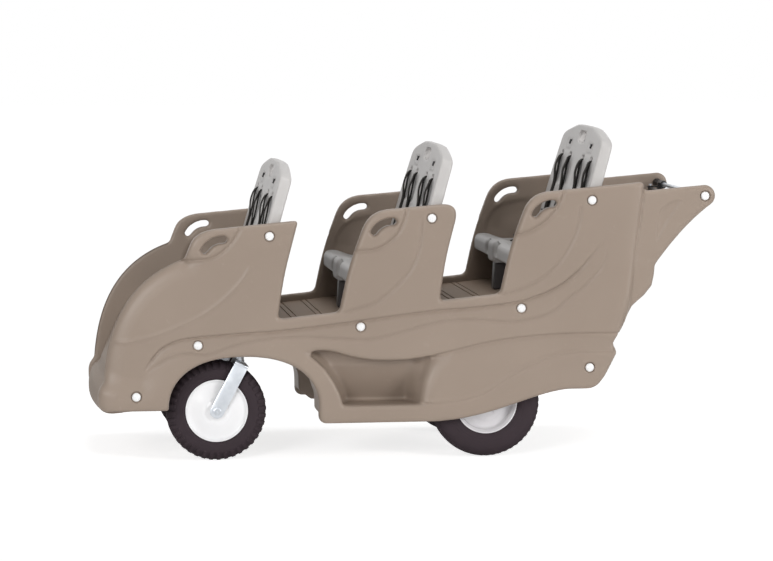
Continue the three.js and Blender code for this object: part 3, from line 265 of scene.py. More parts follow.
wall_outline = eased([
    (ARCH_X + ARCH_HALF, SKIRT_FOOT, 0.2 * SKIRT_FOOT),
    *bend(20, *sweep),
    *[tail_point(*share) for share in tail],
    *rows,
    wall_point(0, 0.148, 0.93, 0.13),
    shoulder,
    *fender[1:],
    (NOSE + 0.05 * NOSE_REACH, 0.6 * FIRST_FLOOR, 0.08 * NOSE_REACH),
    (NOSE + 0.012, NOSE_FOOT, 0.14 * NOSE_REACH),
    *arch,
])

STEP_SPAN = REAR_AXLE - REAR_RADIUS - (ARCH_X + ARCH_HALF)
STEP_RISE = floor_at(ARCH_X + ARCH_HALF) - SKIRT_FOOT


def step_point(along, up):
    return ARCH_X + ARCH_HALF + along * STEP_SPAN, SKIRT_FOOT + up * STEP_RISE


step_top = [(-0.104, 0.701), (0.015, 0.717), (0.129, 0.704), (0.259, 0.66), (0.427, 0.623)]
step_top += [(0.616, 0.61), (0.804, 0.623), (0.953, 0.648), (1.08, 0.678), (1.17, 0.703)]
step_side = [(1.13, 0.60), (1.06, 0.48), (1.00, 0.36), (0.966, 0.23), (0.960, 0.176)]
step_side += [(0.209, 0.176), (0.184, 0.283), (0.129, 0.412), (0.054, 0.541), (-0.06, 0.66), (-0.104, 0.701)]
step_well = drawn([step_point(*p) for p in step_top]) + [step_point(*p) for p in step_side[:-1]]
step_box = [(0, 0.1), (0.11, 0), (0.931, 0), (0.931, 0.182), (0.964, 0.371), (1.08, 0.56), (1.207, 0.786)]
step_box += [(-0.148, 0.786), (-0.087, 0.528), (-0.004, 0.261)]
step_box = [step_point(*p) for p in step_box]


def arc(x, z, radius, start, stop, steps):
    """Points from one angle to another about a centre, both ends included."""
    angles = [start + (stop - start) * i / steps for i in range(steps + 1)]
    return [(x + radius * math.cos(a), z + radius * math.sin(a)) for a in angles]


SLOT_RADIUS, SLOT_HALF = 0.065, 0.0105


def finger_slot(k):
    """A row's finger slot: a bent slot with round ends."""
    x, z, _ = wall_point(k, 0.312 if k == 0 else 0.352, 0.672)
    start, stop = math.radians(86), math.radians(150)
    outer = arc(x, z, SLOT_RADIUS + SLOT_HALF, start, stop, 12)
    inner = arc(x, z, SLOT_RADIUS - SLOT_HALF, start, stop, 12)
    first, last = arc(x, z, SLOT_RADIUS, start, stop, 1)
    front_end = arc(*last, SLOT_HALF, stop, stop + math.pi, 8)
    rear_end = arc(*first, SLOT_HALF, start + math.pi, start + 2 * math.pi, 8)
    return outer + front_end[1:-1] + inner[::-1] + rear_end[1:-1]


PUSH_BAR_X, PUSH_BAR_Z, EYE = 0.942, 0.8182, 0.034
eye = arc(PUSH_BAR_X, PUSH_BAR_Z, EYE, math.radians(-45), math.radians(90), 16)
heel = [(0.726, 0.305), (0.723, 0.225), (0.712, 0.12), (0.679, 0.04), (0.623, -0.056)]
heel += [(0.563, -0.275), (0.52, -0.275), (0.52, 0.96)]
heel = [arm_point(*share)[:2] for share in heel]
pull = arm_point(0.857, 0.661)
pulled = [(e[0] * 1 / 3 + pull[0] * 2 / 3, e[1] * 1 / 3 + pull[1] * 2 / 3) for e in (eye[0], heel[0])]
arm_under = bend(14, eye[0], *pulled, heel[0])
arm_outline = eased([*eye, arm_point(0.683, 0.958, 0.02), *reversed(heel[1:]), *reversed(arm_under[1:])])


def verts_of(geometry):
    return [v for v in geometry if isinstance(v, bmesh.types.BMVert)]


def faces_of(geometry):
    return [f for f in geometry if isinstance(f, bmesh.types.BMFace)]


def prism(maker, outline, low, high, holes=()):
    """Adds a slab between two places along y, cut to an outline of (x, z) with holes through it."""
    loops, edges = [], []
    for loop in (outline, *holes):
        corners = [maker.verts.new((x, low, z)) for x, z in loop]
        loops += corners
        edges += [maker.edges.new((a, b)) for a, b in zip(corners, corners[1:] + corners[:1])]
    fill = bmesh.ops.triangle_fill(maker, use_beauty=True, edges=edges)
    grown = bmesh.ops.extrude_face_region(maker, geom=faces_of(fill["geom"]))["geom"]
    top = verts_of(grown)
    bmesh.ops.translate(maker, verts=top, vec=(0, high - low, 0))
    sides = {f for v in loops + top for f in v.link_faces}
    bmesh.ops.recalc_face_normals(maker, faces=list(sides))


def moulded(piece, grain, rounds):
    """Casts the piece again as one skin with a regular net of faces, and softens its corners."""
    cast = piece.modifiers.new("cast", "REMESH")
    cast.mode = "VOXEL"
    cast.voxel_size = grain
    soft = piece.modifiers.new("soft", "SMOOTH")
    soft.factor = 0.5
    soft.iterations = rounds
    shaped = bpy.data.meshes.new_from_object(piece.evaluated_get(bpy.context.evaluated_depsgraph_get()))
    piece.modifiers.clear()
    piece.data = shaped
    shaped.shade_smooth()
    return piece


def places(piece):
    spots = np.empty(len(piece.data.vertices) * 3)
    piece.data.vertices.foreach_get("co", spots)
    return spots.reshape(-1, 3)


def set_places(piece, spots):
    piece.data.vertices.foreach_set("co", spots.ravel())
    piece.data.update()


def step(value):
    """Rises smoothly from 0 to 1 as the value goes from 0 to 1."""
    value = np.clip(value, 0, 1)
    return value * value * (3 - 2 * value)


def reach_of(spots, line):
    """Each (x, z) spot's distance from a line, positive on its left, and the share of the line passed."""
    line = np.array(line)
    best, side, passed = np.full(len(spots), 9.0), np.ones(len(spots)), np.zeros(len(spots))
    lengths = np.linalg.norm(line[1:] - line[:-1], axis=1)
    starts = np.concatenate([[0], np.cumsum(lengths)])
    for a, b, length, start in zip(line[:-1], line[1:], lengths, starts):
        along = b - a
        t = np.clip((spots - a) @ along / length**2, 0, 1)
        gap = spots - a - t[:, None] * along
        away = np.hypot(gap[:, 0], gap[:, 1])
        near = away < best
        turn = along[0] * (spots[:, 1] - a[1]) - along[1] * (spots[:, 0] - a[0])
        best = np.where(near, away, best)
        side = np.where(near, np.where(turn < 0, -1.0, 1.0), side)
        passed = np.where(near, (start + t * length) / starts[-1], passed)
    return best * side, passed


def distance(spots, line):
    return np.abs(reach_of(spots, line)[0])


def ring(outline):
    """The outline with its first point again at its end."""
    return outline + outline[:1]


def within(spots, outline):
    """Whether each (x, z) spot lies inside a closed outline."""
    x, z = spots[:, 0], spots[:, 1]
    inside = np.zeros(len(spots), bool)
    for (ax, az), (bx, bz) in zip(outline, ring(outline)[1:]):
        if az != bz:
            inside ^= ((az > z) != (bz > z)) & (x < ax + (bx - ax) * (z - az) / (bz - az))
    return inside


def millimetres(*points):
    return drawn([(x / 1000, z / 1000) for x, z in points])


waist_crest = millimetres(
    (-833, 276), (-807, 321), (-774, 360), (-729, 385), (-670, 397), (-606, 402), (-502, 409),
    (-407, 414), (-242, 431), (-115, 447), (76, 470), (208, 479), (353, 497), (462, 536), (534, 589),
    (585, 646), (622, 689), (636, 714),
)
waist_foot = millimetres(
    (-833, 273), (-813, 289), (-774, 317), (-729, 339), (-684, 345), (-632, 341), (-593, 350),
    (-528, 372), (-432, 389), (-350, 392), (-274, 389), (-179, 383), (-128, 382), (-77, 390), (-19, 405),
    (76, 429), (136, 438), (208, 439), (317, 430), (390, 439), (455, 461), (513, 507), (571, 553),
    (615, 609), (634, 690),
)
skirt_line = [(-1.02, 0.33), (-0.9, 0.29), *waist_foot, (0.65, 0.80), (0.66, 0.95)]
fender_crease = millimetres(
    (-925, 389), (-881, 385), (-837, 392), (-781, 406), (-706, 435), (-651, 460), (-595, 497), (-546, 541),
    (-511, 582), (-490, 622),
)
row_arcs = [
    millimetres(
        (45, 762), (41, 747), (35, 671), (13, 607), (-26, 557), (-77, 513), (-128, 486), (-214, 464),
    ),
    millimetres(
        (545, 800), (544, 790), (537, 733), (512, 669), (469, 605), (410, 559), (353, 531), (270, 510),
    ),
]
slot_seats = [
    millimetres((-720, 641), (-696, 637), (-631, 640), (-593, 654), (-556, 687), (-529, 728), (-520, 760)),
    millimetres(
        (-190, 660), (-169, 660), (-115, 663), (-77, 678), (-39, 709), (-19, 747), (-10, 779), (-6, 810),
    ),
    millimetres((310, 700), (334, 703), (388, 720), (439, 755), (471, 798), (486, 833), (490, 860)),
]
inner_arc = millimetres(
    (352, 630), (358, 676), (367, 706), (384, 732), (413, 752), (451, 762), (497, 768), (550, 771),
)
skirt_ledge = millimetres(
    (64, 330), (133, 345), (201, 361), (269, 374), (338, 383), (441, 392), (544, 395), (675, 395),
)
lower_skirt = millimetres(
    (29, 184), (78, 180), (133, 184), (187, 193), (242, 212), (297, 246), (352, 279), (407, 305),
    (462, 323), (517, 332), (572, 335), (640, 334),
)
rear_corner = millimetres((755, 880), (748, 861), (720, 664), (695, 484), (664, 390))
arm_panel = [(0.784, 0.676), (0.787, 0.740), (0.793, 0.768), (0.808, 0.788), (0.828, 0.802), (0.845, 0.807)]
arm_panel += [(0.864, 0.809), (0.869, 0.804), (0.850, 0.775), (0.825, 0.738), (0.803, 0.700), (0.790, 0.674)]
ARM_FACE, BAR_SEAT, SKIRT_FACE = OUTER - 0.0081, OUTER - 0.005, OUTER + FLARE
caps = [
    (-0.433, 0.7062, OUTER), (0.0731, 0.7572, OUTER), (0.5791, 0.8082, OUTER),
    (-0.655, 0.3699, BAR_SEAT), (-0.149, 0.4209, BAR_SEAT), (0.357, 0.4719, BAR_SEAT),
    (-0.8469, 0.2159, SKIRT_FACE), (0.571, 0.285, SKIRT_FACE), (PUSH_BAR_X, PUSH_BAR_Z, ARM_FACE),
]


def fold(away, width):
    """A narrow fold along a line: 1 on the line and 0 from that width on."""
    return np.clip(1 - np.abs(away) / width, 0, 1)


def between_ends(passed, start, stop):
    """Fades a fold in over the first share of its line and out over the last."""
    return step(passed / start) * step((1 - passed) / stop)


FOLD, WAIST_SINK, CREST_CUT, FOOT_CUT = 0.0055, 0.0066, 0.0054, 0.0045
SEAT_RISE, SEAT_CUT, SKIRT_SINK, LEDGE_CUT, LOWER_CUT = 0.0064, 0.0052, 0.0070, 0.0036, 0.0042
CORNER_ROUND, CORNER_DROP = 0.042, 0.0084
creases = [(fender_crease, 0.0034, 0.0085), *((row_arc, -0.0050, 0.007) for row_arc in row_arcs)]


def wall_relief(spots):
    """How far the outer skin stands out of the flat wall at each (x, z) spot."""
    x, z = spots[:, 0], spots[:, 1]
    skirt, _ = reach_of(spots, skirt_line)
    wide = 0.15 - 0.07 * step((-0.70 - x) / 0.12)
    high = FLARE * step(-skirt / wide) * (1 - step((z - 0.50) / 0.26))
    crest, passed = reach_of(spots, waist_crest)
    foot, foot_passed = reach_of(spots, waist_foot)
    tips = between_ends(passed, 0.05, 0.12)
    band = np.clip(-crest / (np.abs(crest) + np.maximum(foot, 0) + 1e-6), 0, 1)
    sunk = step((0.001 - crest) / 0.004) * (1 - 0.8 * band) * step(1 + np.minimum(foot, 0) / 0.02)
    high = high - WAIST_SINK * tips * sunk
    high = high - CREST_CUT * tips * fold(crest + 0.003, FOLD)
    high = high - FOOT_CUT * between_ends(foot_passed, 0.05, 0.1) * fold(foot, FOLD)
    for line, rise, width in creases:
        away, gone = reach_of(spots, line)
        high = high + rise * between_ends(gone, 0.06, 0.05) * fold(away, width)
    for line in slot_seats:
        away, gone = reach_of(spots, line)
        inside = step((away + 0.004) / 0.013) * (np.abs(away) < 0.16) * (gone > 0.002) * (gone < 0.998)
        cut = fold(away + 0.004, 0.006) * between_ends(gone, 0.06, 0.06)
        high = high + SEAT_RISE * inside - SEAT_CUT * cut
    ledge, ledge_gone = reach_of(spots, skirt_ledge)
    lower, lower_gone = reach_of(spots, lower_skirt)
    between = step(-ledge / 0.005) * step(lower / 0.012) * step((x - 0.03) / 0.10)
    high = high - SKIRT_SINK * between - LEDGE_CUT * step(ledge_gone / 0.06) * fold(ledge + 0.003, 0.005)
    high = high - LOWER_CUT * step(lower_gone / 0.05) * fold(lower + 0.001, 0.006)
    corner, _ = reach_of(spots, rear_corner)
    turn = np.clip((corner + CORNER_ROUND) / CORNER_ROUND, 0, 1)
    return high - CORNER_DROP * (1 - np.sqrt(1 - 0.999 * turn**2)) * step((z - 0.36) / 0.08)


def edge_drop(spots, outline, width, depth):
    """How far the skin falls away near an outline, as a quarter round of that width and depth."""
    inward = np.clip(distance(spots, outline) / width, 0, 1)
    return depth * (1 - np.sqrt(1 - (1 - inward) ** 2))


WELL_BACK = OUTER - FLARE - 0.118
fender_line = [(-0.695, 0.634), *fender[1:], (NOSE + 0.012, 0.235), (NOSE + 0.012, NOSE_FOOT)]
wall_maker = bmesh.new()
prism(wall_maker, wall_outline, INNER, OUTER, [finger_slot(k) for k in range(3)] + [step_well])
prism(wall_maker, step_box, WELL_BACK, OUTER - 0.012, [step_well])

# The well's back is a net of faces, deepest at the tread, that slopes out to the skirt at its rear end
PANEL_X, PANEL_Z, PANEL_LONG, PANEL_HIGH, PANEL_MARGIN = -0.325, 0.165, 0.51, 0.205, 0.009
panel_verts = bmesh.ops.create_grid(wall_maker, x_segments=100, y_segments=44, size=0.5)["verts"]
panel = np.array([
    (PANEL_X + (v.co.x + 0.5) * PANEL_LONG, PANEL_Z + (v.co.y + 0.5) * PANEL_HIGH) for v in panel_verts
])
lift = np.clip((panel[:, 1] - step_point(0, 0.176)[1]) / 0.118, 0, 1)
front_gap = reach_of(panel, [step_point(*p) for p in step_side[5:]])[0]
rear_gap = reach_of(panel, [step_point(*p) for p in ((1.27, 0.85), *step_side[:5], (0.96, 0.05))])[0]
before_rear = np.where(rear_gap < 0, np.abs(rear_gap), 0)
lead = 0.031 + 0.010 * lift
depth = (0.097 - 0.058 * lift) * step((before_rear - 0.9 * lead) / (0.032 + 0.030 * lift))
past_front = step(np.abs(front_gap) / 0.024) * (front_gap < 0)
depth = (depth + 0.015 * np.clip(before_rear / lead, 0, 1)) * (0.5 + 0.5 * past_front)
depth = depth + 0.004 * (rear_gap >= 0)
for v, (x, z), deep in zip(panel_verts, panel, depth):
    v.co = (x, OUTER - 0.0004 - deep, z)
stray = ~within(panel, step_well) & (distance(panel, ring(step_well)) > PANEL_MARGIN)
bmesh.ops.delete(wall_maker, geom=[v for v, gone in zip(panel_verts, stray) if gone], context="VERTS")
panel_faces = list({f for v, gone in zip(panel_verts, stray) if not gone for f in v.link_faces})
shell = bmesh.ops.extrude_face_region(wall_maker, geom=panel_faces)["geom"]
for v in verts_of(shell):
    v.co.y = max(v.co.y - 0.035, WELL_BACK + 0.0005)
bmesh.ops.recalc_face_normals(wall_maker, faces=wall_maker.faces[:])
prism(wall_maker, arm_outline, INNER, ARM_FACE)
right_wall = moulded(finished(wall_maker, "right_wall_moulding"), grain=0.0056, rounds=5)


def refined(piece, reach, lines, marks):
    """Splits the outer skin's faces once near the lines, and twice near the round marks."""
    for near_lines in (lines, ()):
        spots = places(piece)
        plan = spots[:, [0, 2]]
        close = np.zeros(len(spots), bool)
        for line in near_lines:
            close |= distance(plan, line) < reach
        for mark_x, mark_z, _ in marks:
            close |= np.hypot(plan[:, 0] - mark_x, plan[:, 1] - mark_z) < 0.024
        close &= spots[:, 1] > OUTER - 0.014
        maker = bmesh.new()
        maker.from_mesh(piece.data)
        edges = [e for e in maker.edges if close[e.verts[0].index] and close[e.verts[1].index]]
        bmesh.ops.subdivide_edges(maker, edges=edges, cuts=1, use_grid_fill=True)
        maker.to_mesh(piece.data)
        maker.free()
    piece.data.shade_smooth()


FINE_REACH = 0.009
slot_lines = [ring(finger_slot(k)) for k in range(3)]
fine_lines = [*slot_lines, rear_corner, waist_crest, waist_foot, fender_crease, *row_arcs, *slot_seats]
refined(right_wall, FINE_REACH, [*fine_lines, skirt_ledge, lower_skirt, ring(arm_panel)], caps)
spots = places(right_wall)
plan = spots[:, [0, 2]]
outer_share = step((spots[:, 1] - 0.332) / 0.018)
high = wall_relief(plan)
drop = edge_drop(plan, ring(wall_outline), width=0.011, depth=0.008)
fender_slope = 0.008 * np.clip(1 - distance(plan, fender_line) / 0.054, 0, 1)
fender_round = edge_drop(plan, fender_line, width=0.040, depth=0.016)
drop = np.maximum(drop, fender_round + fender_slope)

# Behind the rear corner the arm's lower face, its rim and its sunk panel take over from the wall's
behind = reach_of(plan, rear_corner)[0]
on_arm = step((plan[:, 0] - 0.68) / 0.02) * (behind > -0.03)
held = on_arm * step((behind + 0.026) / 0.016) * step((0.834 - plan[:, 1]) / 0.012)
arm_drop = edge_drop(plan, ring(arm_outline), width=0.016, depth=0.009)
arm_drop = arm_drop + 0.0050 * step(distance(plan, ring(arm_panel)) / 0.009) * within(plan, arm_panel)
passing = step((behind - 0.001) / 0.008)
drop = drop * (1 - held) * (1 - passing * on_arm) + passing * on_arm * arm_drop
high = high * (1 - passing * on_arm) - 0.0002 * passing * on_arm
for slot_line in slot_lines:
    away = distance(plan, slot_line)
    drop = drop + 0.003 * np.clip(1 - away / 0.006, 0, 1) - 0.0014 * np.exp(-((away - 0.010) / 0.004) ** 2)
well_away = distance(plan, ring(step_well))
at_rear = step((plan[:, 0] - step_point(0.93, 0)[0]) / 0.03)
drop = drop + 0.006 * (1 - at_rear) * (1 - np.sqrt(1 - np.clip(1 - well_away / 0.010, 0, 1) ** 2))
CAP_SEAT, CAP_DEPTH = 0.0185, 0.0062
for cap_x, cap_z, _ in caps:
    away = np.hypot(plan[:, 0] - cap_x, plan[:, 1] - cap_z)
    drop = drop + CAP_DEPTH * step((CAP_SEAT - away) / 0.003)
spots[:, 1] += outer_share * (high - drop)
inner_share = step((INNER + 0.009 - spots[:, 1]) / 0.006)
for k in range(3):
    seat_arc = [(x + (k - 2) * PITCH, z + (k - 2) * RISE) for x, z in inner_arc]
    away, gone = reach_of(plan, seat_arc)
    dip = step((0.004 - away) / 0.011) * (1 - step((-away - 0.035) / 0.06)) * between_ends(gone, 0.2, 0.2)
    spots[:, 1] += 0.0055 * inner_share * dip
set_places(right_wall, spots)
left_maker = bmesh.new()
left_maker.from_mesh(right_wall.data)
bmesh.ops.scale(left_maker, verts=left_maker.verts[:], vec=(1, -1, 1))
bmesh.ops.reverse_faces(left_maker, faces=left_maker.faces[:])
left_wall = finished(left_maker, "left_wall_moulding")


def effect_group(name, inputs, outputs):
    """An empty shader node group with named inputs (name, value) and outputs (name, kind)."""
    group = bpy.data.node_groups.new(name, "ShaderNodeTree")
    for label, value in inputs:
        socket = group.interface.new_socket(label, in_out="INPUT", socket_type="NodeSocketFloat")
        socket.default_value = value
    for label, kind in outputs:
        group.interface.new_socket(label, in_out="OUTPUT", socket_type=kind)
    return group, group.nodes.new("NodeGroupInput"), group.nodes.new("NodeGroupOutput")


# The moulded grain: fine orange peel, slow clouds of tone, and fine scuffs
grain, grain_in, grain_out = effect_group(
    "moulded_grain",
    [("Grain Scale", 420), ("Grain Depth", 0.1), ("Cloud Scale", 2.2), ("Scuffs", 0.3)],
    [("Tone", "NodeSocketFloat"), ("Gloss", "NodeSocketFloat"), ("Normal", "NodeSocketVector")],
)
dial = grain_in.outputs
place = add(grain, "ShaderNodeTexCoord", {}).outputs["Object"]
peel = add(grain, "ShaderNodeTexNoise", {"Detail": 3, "Vector": place, "Scale": dial["Grain Scale"]})
cloud = add(grain, "ShaderNodeTexNoise", {"Detail": 4, "Vector": place, "Scale": dial["Cloud Scale"]})
scuff = add(grain, "ShaderNodeTexNoise", {"Scale": 38, "Detail": 8, "Distortion": 1.6, "Vector": place})
marks = add(grain, "ShaderNodeMapRange", {"From Min": 0.62, "From Max": 0.74, "Value": scuff.outputs["Fac"]})
scuffed = add(grain, "ShaderNodeMath", {0: marks.outputs["Result"], 1: dial["Scuffs"]}, operation="MULTIPLY")
both = {0: cloud.outputs["Fac"], 1: scuffed.outputs[0]}
tone = add(grain, "ShaderNodeMath", both, operation="ADD", use_clamp=True)
peel_depth = {"Distance": 0.0006, "Strength": dial["Grain Depth"], "Height": peel.outputs["Fac"]}
bump = add(grain, "ShaderNodeBump", peel_depth)
effects = {"Tone": tone.outputs[0], "Gloss": scuffed.outputs[0], "Normal": bump.outputs["Normal"]}
feed(grain, grain_out, effects)


def two_tones(tree, factor, dark, light):
    """A colour ramp from dark to light along the factor."""
    ramp = add(tree, "ShaderNodeValToRGB", {"Fac": factor})
    for element, tone in zip(ramp.color_ramp.elements, (dark, light)):
        element.color = (*tone, 1)
    return ramp


def moulded_plastic(name, dark, light, roughness, depth=0.25, scuffs=0.25, cloud_scale=2.2, specular=0.3):
    """Moulded plastic between two close tones, with the grain's bump and scuffs."""
    material, tree, shader = new_material(name)
    dials = {"Grain Depth": depth, "Scuffs": scuffs, "Cloud Scale": cloud_scale}
    peel_node = add(tree, "ShaderNodeGroup", {}, node_tree=grain)
    feed(tree, peel_node, dials)
    ramp = two_tones(tree, peel_node.outputs["Tone"], dark, light)
    ramp.color_ramp.elements[0].position = 0.25
    ramp.color_ramp.elements[1].position = 0.8
    limits = {"To Min": roughness, "To Max": roughness + 0.12, "Value": peel_node.outputs["Gloss"]}
    gloss = add(tree, "ShaderNodeMapRange", limits)
    feed(tree, shader, {
        "Base Color": ramp.outputs["Color"], "Roughness": gloss.outputs["Result"],
        "Normal": peel_node.outputs["Normal"], "Specular IOR Level": specular,
    })
    return material


tan = moulded_plastic("tan_polyethylene", (0.290, 0.229, 0.184), (0.326, 0.260, 0.211), 0.40)
for wall, node in ((right_wall, "right_side_wall"), (left_wall, "left_side_wall")):
    wall.data.materials.clear()
    wall.data.materials.append(tan)
    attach(wall, "body")
    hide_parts(node)

# Nose
# A rolled bumper between the two walls that rises into a toe hood, moulded with its own web and bowed a
# little forwards in the middle.
HALF = 0.3277
nose_shares = [
    (0.8375, 0.4337), (0.1167, 0.4031, 0.0917), (0, 0.4388, 0.0667), (0, 0.5663, 0.0833),
    (0.0583, 0.6276, 0.0583), (0.1333, 0.6429, 0.0417), (0.1917, 0.7398, 0.05), (0.3083, 0.8571, 0.075),
    (0.45, 1.0102, 0.075), (0.6167, 1.1684, 0.075), (0.7917, 1.25, 0.0208), (0.7833, 1.2092, 0.0125),
    (0.6667, 1.1327, 0.075), (0.5083, 0.9796, 0.075), (0.3583, 0.8163, 0.075), (0.2417, 0.7092, 0.0417),
    (0.1917, 0.5918, 0.0417), (0.1083, 0.5, 0.0417), (0.1667, 0.4592, 0.025), (0.8375, 0.4745),
]
nose_outline = eased([
    (NOSE + along * NOSE_REACH, up * FIRST_FLOOR, (reach or [0])[0] * NOSE_REACH)
    for along, up, *reach in nose_shares
])
WEB = NOSE + 0.4753 * NOSE_REACH, NOSE + 0.5998 * NOSE_REACH
web = [(WEB[0], 0.171), (WEB[1], 0.171), (WEB[1], 1.11 * FIRST_FLOOR), (WEB[0], FIRST_FLOOR)]
BOW = 0.017
nose_maker = bmesh.new()
prism(nose_maker, nose_outline, -HALF, HALF)
prism(nose_maker, web, -HALF, HALF)
nose = moulded(finished(nose_maker, "nose_moulding"), grain=0.006, rounds=5)
spots = places(nose)
spots[:, 0] += (0.001 + BOW * (spots[:, 1] / HALF) ** 2) * step((WEB[0] - spots[:, 0]) / 0.09)
set_places(nose, spots)
# A darker copy of the walls' tan: painted shade on the nose, which faces away from the lamps. The rougher,
# less shiny finish cuts its reflection.
nose_shaded_tan = moulded_plastic(
    "nose_polyethylene", (0.258, 0.203, 0.162), (0.290, 0.230, 0.185), roughness=0.5, specular=0.12,
)
nose.data.materials.append(nose_shaded_tan)
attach(nose, "body")
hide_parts("nose_bumper")

# Rear bin
# An open tub behind the last bench, moulded in the same tan plastic with soft edges all round.
BIN_FRONT = LAST_ROW + 0.3 * TAIL_REACH
bin_back = [tail_point(*p) for p in (
    (0.52, 0.62, 0.03), (0.548, 0.8, 0.03), (0.6, 0.945, 0.03), (0.66, 1.025, 0.04), (0.695, 1.1, 0.03),
    (0.705, 1.2, 0),
)]
BIN_WALL, BIN_FLOOR = 0.012, 0.2943
bin_front_top = floor_at(BIN_FRONT) - 0.0203
bin_foot = bin_back[0][0]
bin_outer = [(BIN_FRONT, bin_front_top, 0), (BIN_FRONT, BIN_FLOOR, BIN_WALL), (bin_foot, BIN_FLOOR, BIN_WALL)]
bin_inner = [(x - BIN_WALL, z, reach) for x, z, reach in reversed(bin_back)]
bin_inner += [(x, BIN_FLOOR + BIN_WALL, BIN_WALL) for x in (bin_foot - BIN_WALL, BIN_FRONT + BIN_WALL)]
bin_inner += [(BIN_FRONT + BIN_WALL, bin_front_top, 0)]
bin_maker = bmesh.new()
prism(bin_maker, eased(bin_outer + bin_back + bin_inner), -HALF, HALF)
rear_bin = moulded(finished(bin_maker, "rear_bin_moulding"), grain=0.0055, rounds=2)
rear_bin.data.materials.append(tan)
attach(rear_bin, "body")
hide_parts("rear_bin")

# Floor pans
# Three flat tan pans with paired drain grooves, one under each row.
# A darker copy of the walls' tan: painted shade, where the walls shadow the pans.
pan_shaded_tan = moulded_plastic(
    "pan_polyethylene", (0.215, 0.160, 0.120), (0.245, 0.185, 0.140), roughness=0.62, depth=0.3,
    specular=0.12,
)
for k in (1, 2, 3):
    pan = frame["nodes"][f"row_{k}_floor"]
    pan.material_slots[0].material = pan_shaded_tan

# Bench seats
# A grey bench for two across the whole width, moulded with a rolled front lip and a pommel in the middle.
grey = moulded_plastic(
    "grey_polyethylene", (0.50, 0.482, 0.470), (0.58, 0.562, 0.55), roughness=0.4, depth=0.12, scuffs=0.15,
)
LIP, SEAT_TOP, LIP_HEIGHT, SHELL = 0.044, 0.163, 0.054, 0.013
RECLINE = math.radians(16.5)
BAR_X, BAR_Z = 0.599 * PITCH, 0.88 * WALL_HEIGHT


def back_face(z):
    return BAR_X - 0.015 - (BAR_Z - z) * math.tan(RECLINE)


def bench_rear(z):
    return back_face(z) - 0.0004


lip_bottom, under = SEAT_TOP - LIP_HEIGHT, SEAT_TOP - SHELL
seat_profile = eased([
    (LIP, lip_bottom, SHELL / 2), (LIP, SEAT_TOP, 0.024), (bench_rear(SEAT_TOP), SEAT_TOP),
    (bench_rear(lip_bottom), lip_bottom), (bench_rear(lip_bottom) - SHELL, lip_bottom),
    (bench_rear(under) - SHELL, under, SHELL / 2), (LIP + SHELL, under, SHELL), (LIP + SHELL, lip_bottom),
])
POMMEL_HALF, POMMEL_LONG = 0.050, 0.084
pommel_front, pommel_foot, pommel_top = LIP - 0.003, lip_bottom - 0.015, SEAT_TOP + 0.004
pommel_profile = eased([
    (pommel_front, pommel_foot, 0.014), (pommel_front, pommel_top, 0.024),
    (pommel_front + POMMEL_LONG, pommel_top, 0.028), (pommel_front + POMMEL_LONG, pommel_foot, 0.014),
])
bench_maker = bmesh.new()
prism(bench_maker, seat_profile, -HALF, HALF)
prism(bench_maker, pommel_profile, -POMMEL_HALF, POMMEL_HALF)
bench = moulded(finished(bench_maker, "bench_pattern"), grain=0.005, rounds=4)
spots = places(bench)
across = np.abs(spots[:, 1])
behind_lip = spots[:, 0] - LIP - 0.030
hollow = 0.006 * step((across - 0.075) / 0.05) * step((0.315 - across) / 0.04) * step(behind_lip / 0.05)
spots[:, 2] -= hollow * (spots[:, 2] > SEAT_TOP - 0.006)
DISH, LIP_VALLEY = 0.018, 0.016
spots[:, 2] -= DISH * step(behind_lip / 0.07) * (spots[:, 2] > lip_bottom + 0.012)
lip_fall = LIP_VALLEY * np.exp(-((across - 0.076) / 0.022) ** 2) * step((spots[:, 2] - lip_bottom) / 0.02)
spots[:, 0] += lip_fall * (spots[:, 0] < LIP + 0.012)
set_places(bench, spots)


def row_place(k, x=0, y=0, z=0):
    """A place given from the foot of a row, counted from 0 at the front."""
    return FIRST_ROW + k * PITCH + x, y, FIRST_FLOOR + k * RISE + z


def moved(maker, vec):
    bmesh.ops.translate(maker, verts=maker.verts[:], vec=vec)


def rotated(maker, angle, axis):
    bmesh.ops.rotate(maker, verts=maker.verts[:], cent=(0, 0, 0), matrix=Matrix.Rotation(angle, 3, axis))


def row_copies(pattern, label):
    """Three copies of a piece, each moved to its row, in place of the pattern."""
    made = []
    for k in range(3):
        maker = bmesh.new()
        maker.from_mesh(pattern.data)
        moved(maker, row_place(k))
        made.append(finished(maker, label.format(k + 1), pattern.data.materials[0]))
    bpy.data.objects.remove(pattern)
    return made


# A darker copy of the backrests' grey: painted shade on the benches, which sit in the walls' shade.
bench_shaded_grey = moulded_plastic(
    "bench_polyethylene", (0.36, 0.35, 0.343), (0.42, 0.408, 0.40), roughness=0.42, depth=0.12, scuffs=0.15,
)
bench.data.materials.append(bench_shaded_grey)
for k, piece in enumerate(row_copies(bench, "row_{}_bench"), 1):
    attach(piece, "body")
    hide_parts(f"row_{k}_seat")

# Seat posts
# A dark moulded pedestal under each pommel, with eased edges.
charcoal = moulded_plastic("charcoal_plastic", (0.036, 0.030, 0.029), (0.052, 0.045, 0.043), 0.42, depth=0.2)
post_front, post_top = LIP + 0.010, lip_bottom - 0.0153


def pan_top(x):
    """The pan's top under a bench, a little clear of it, from the foot of the row."""
    return floor_at(FIRST_ROW + x) - FIRST_FLOOR + 0.0003


post_profile = eased([
    (post_front - 0.005, pan_top(post_front), 0.006), (post_front, post_top, 0.006),
    (post_front + 0.072, post_top, 0.006), (post_front + 0.082, pan_top(post_front + 0.082), 0.006),
], 4)
post_maker = bmesh.new()
prism(post_maker, post_profile, -0.022, 0.022)


def sharp_edges(maker, angle):
    return [e for e in maker.edges if len(e.link_faces) == 2 and e.calc_face_angle() > angle]


def softened(maker, edges, offset, segments):
    """Rounds the edges off."""
    bmesh.ops.bevel(
        maker, geom=edges, offset=offset, segments=segments, profile=0.5, affect="EDGES", material=-1,
    )


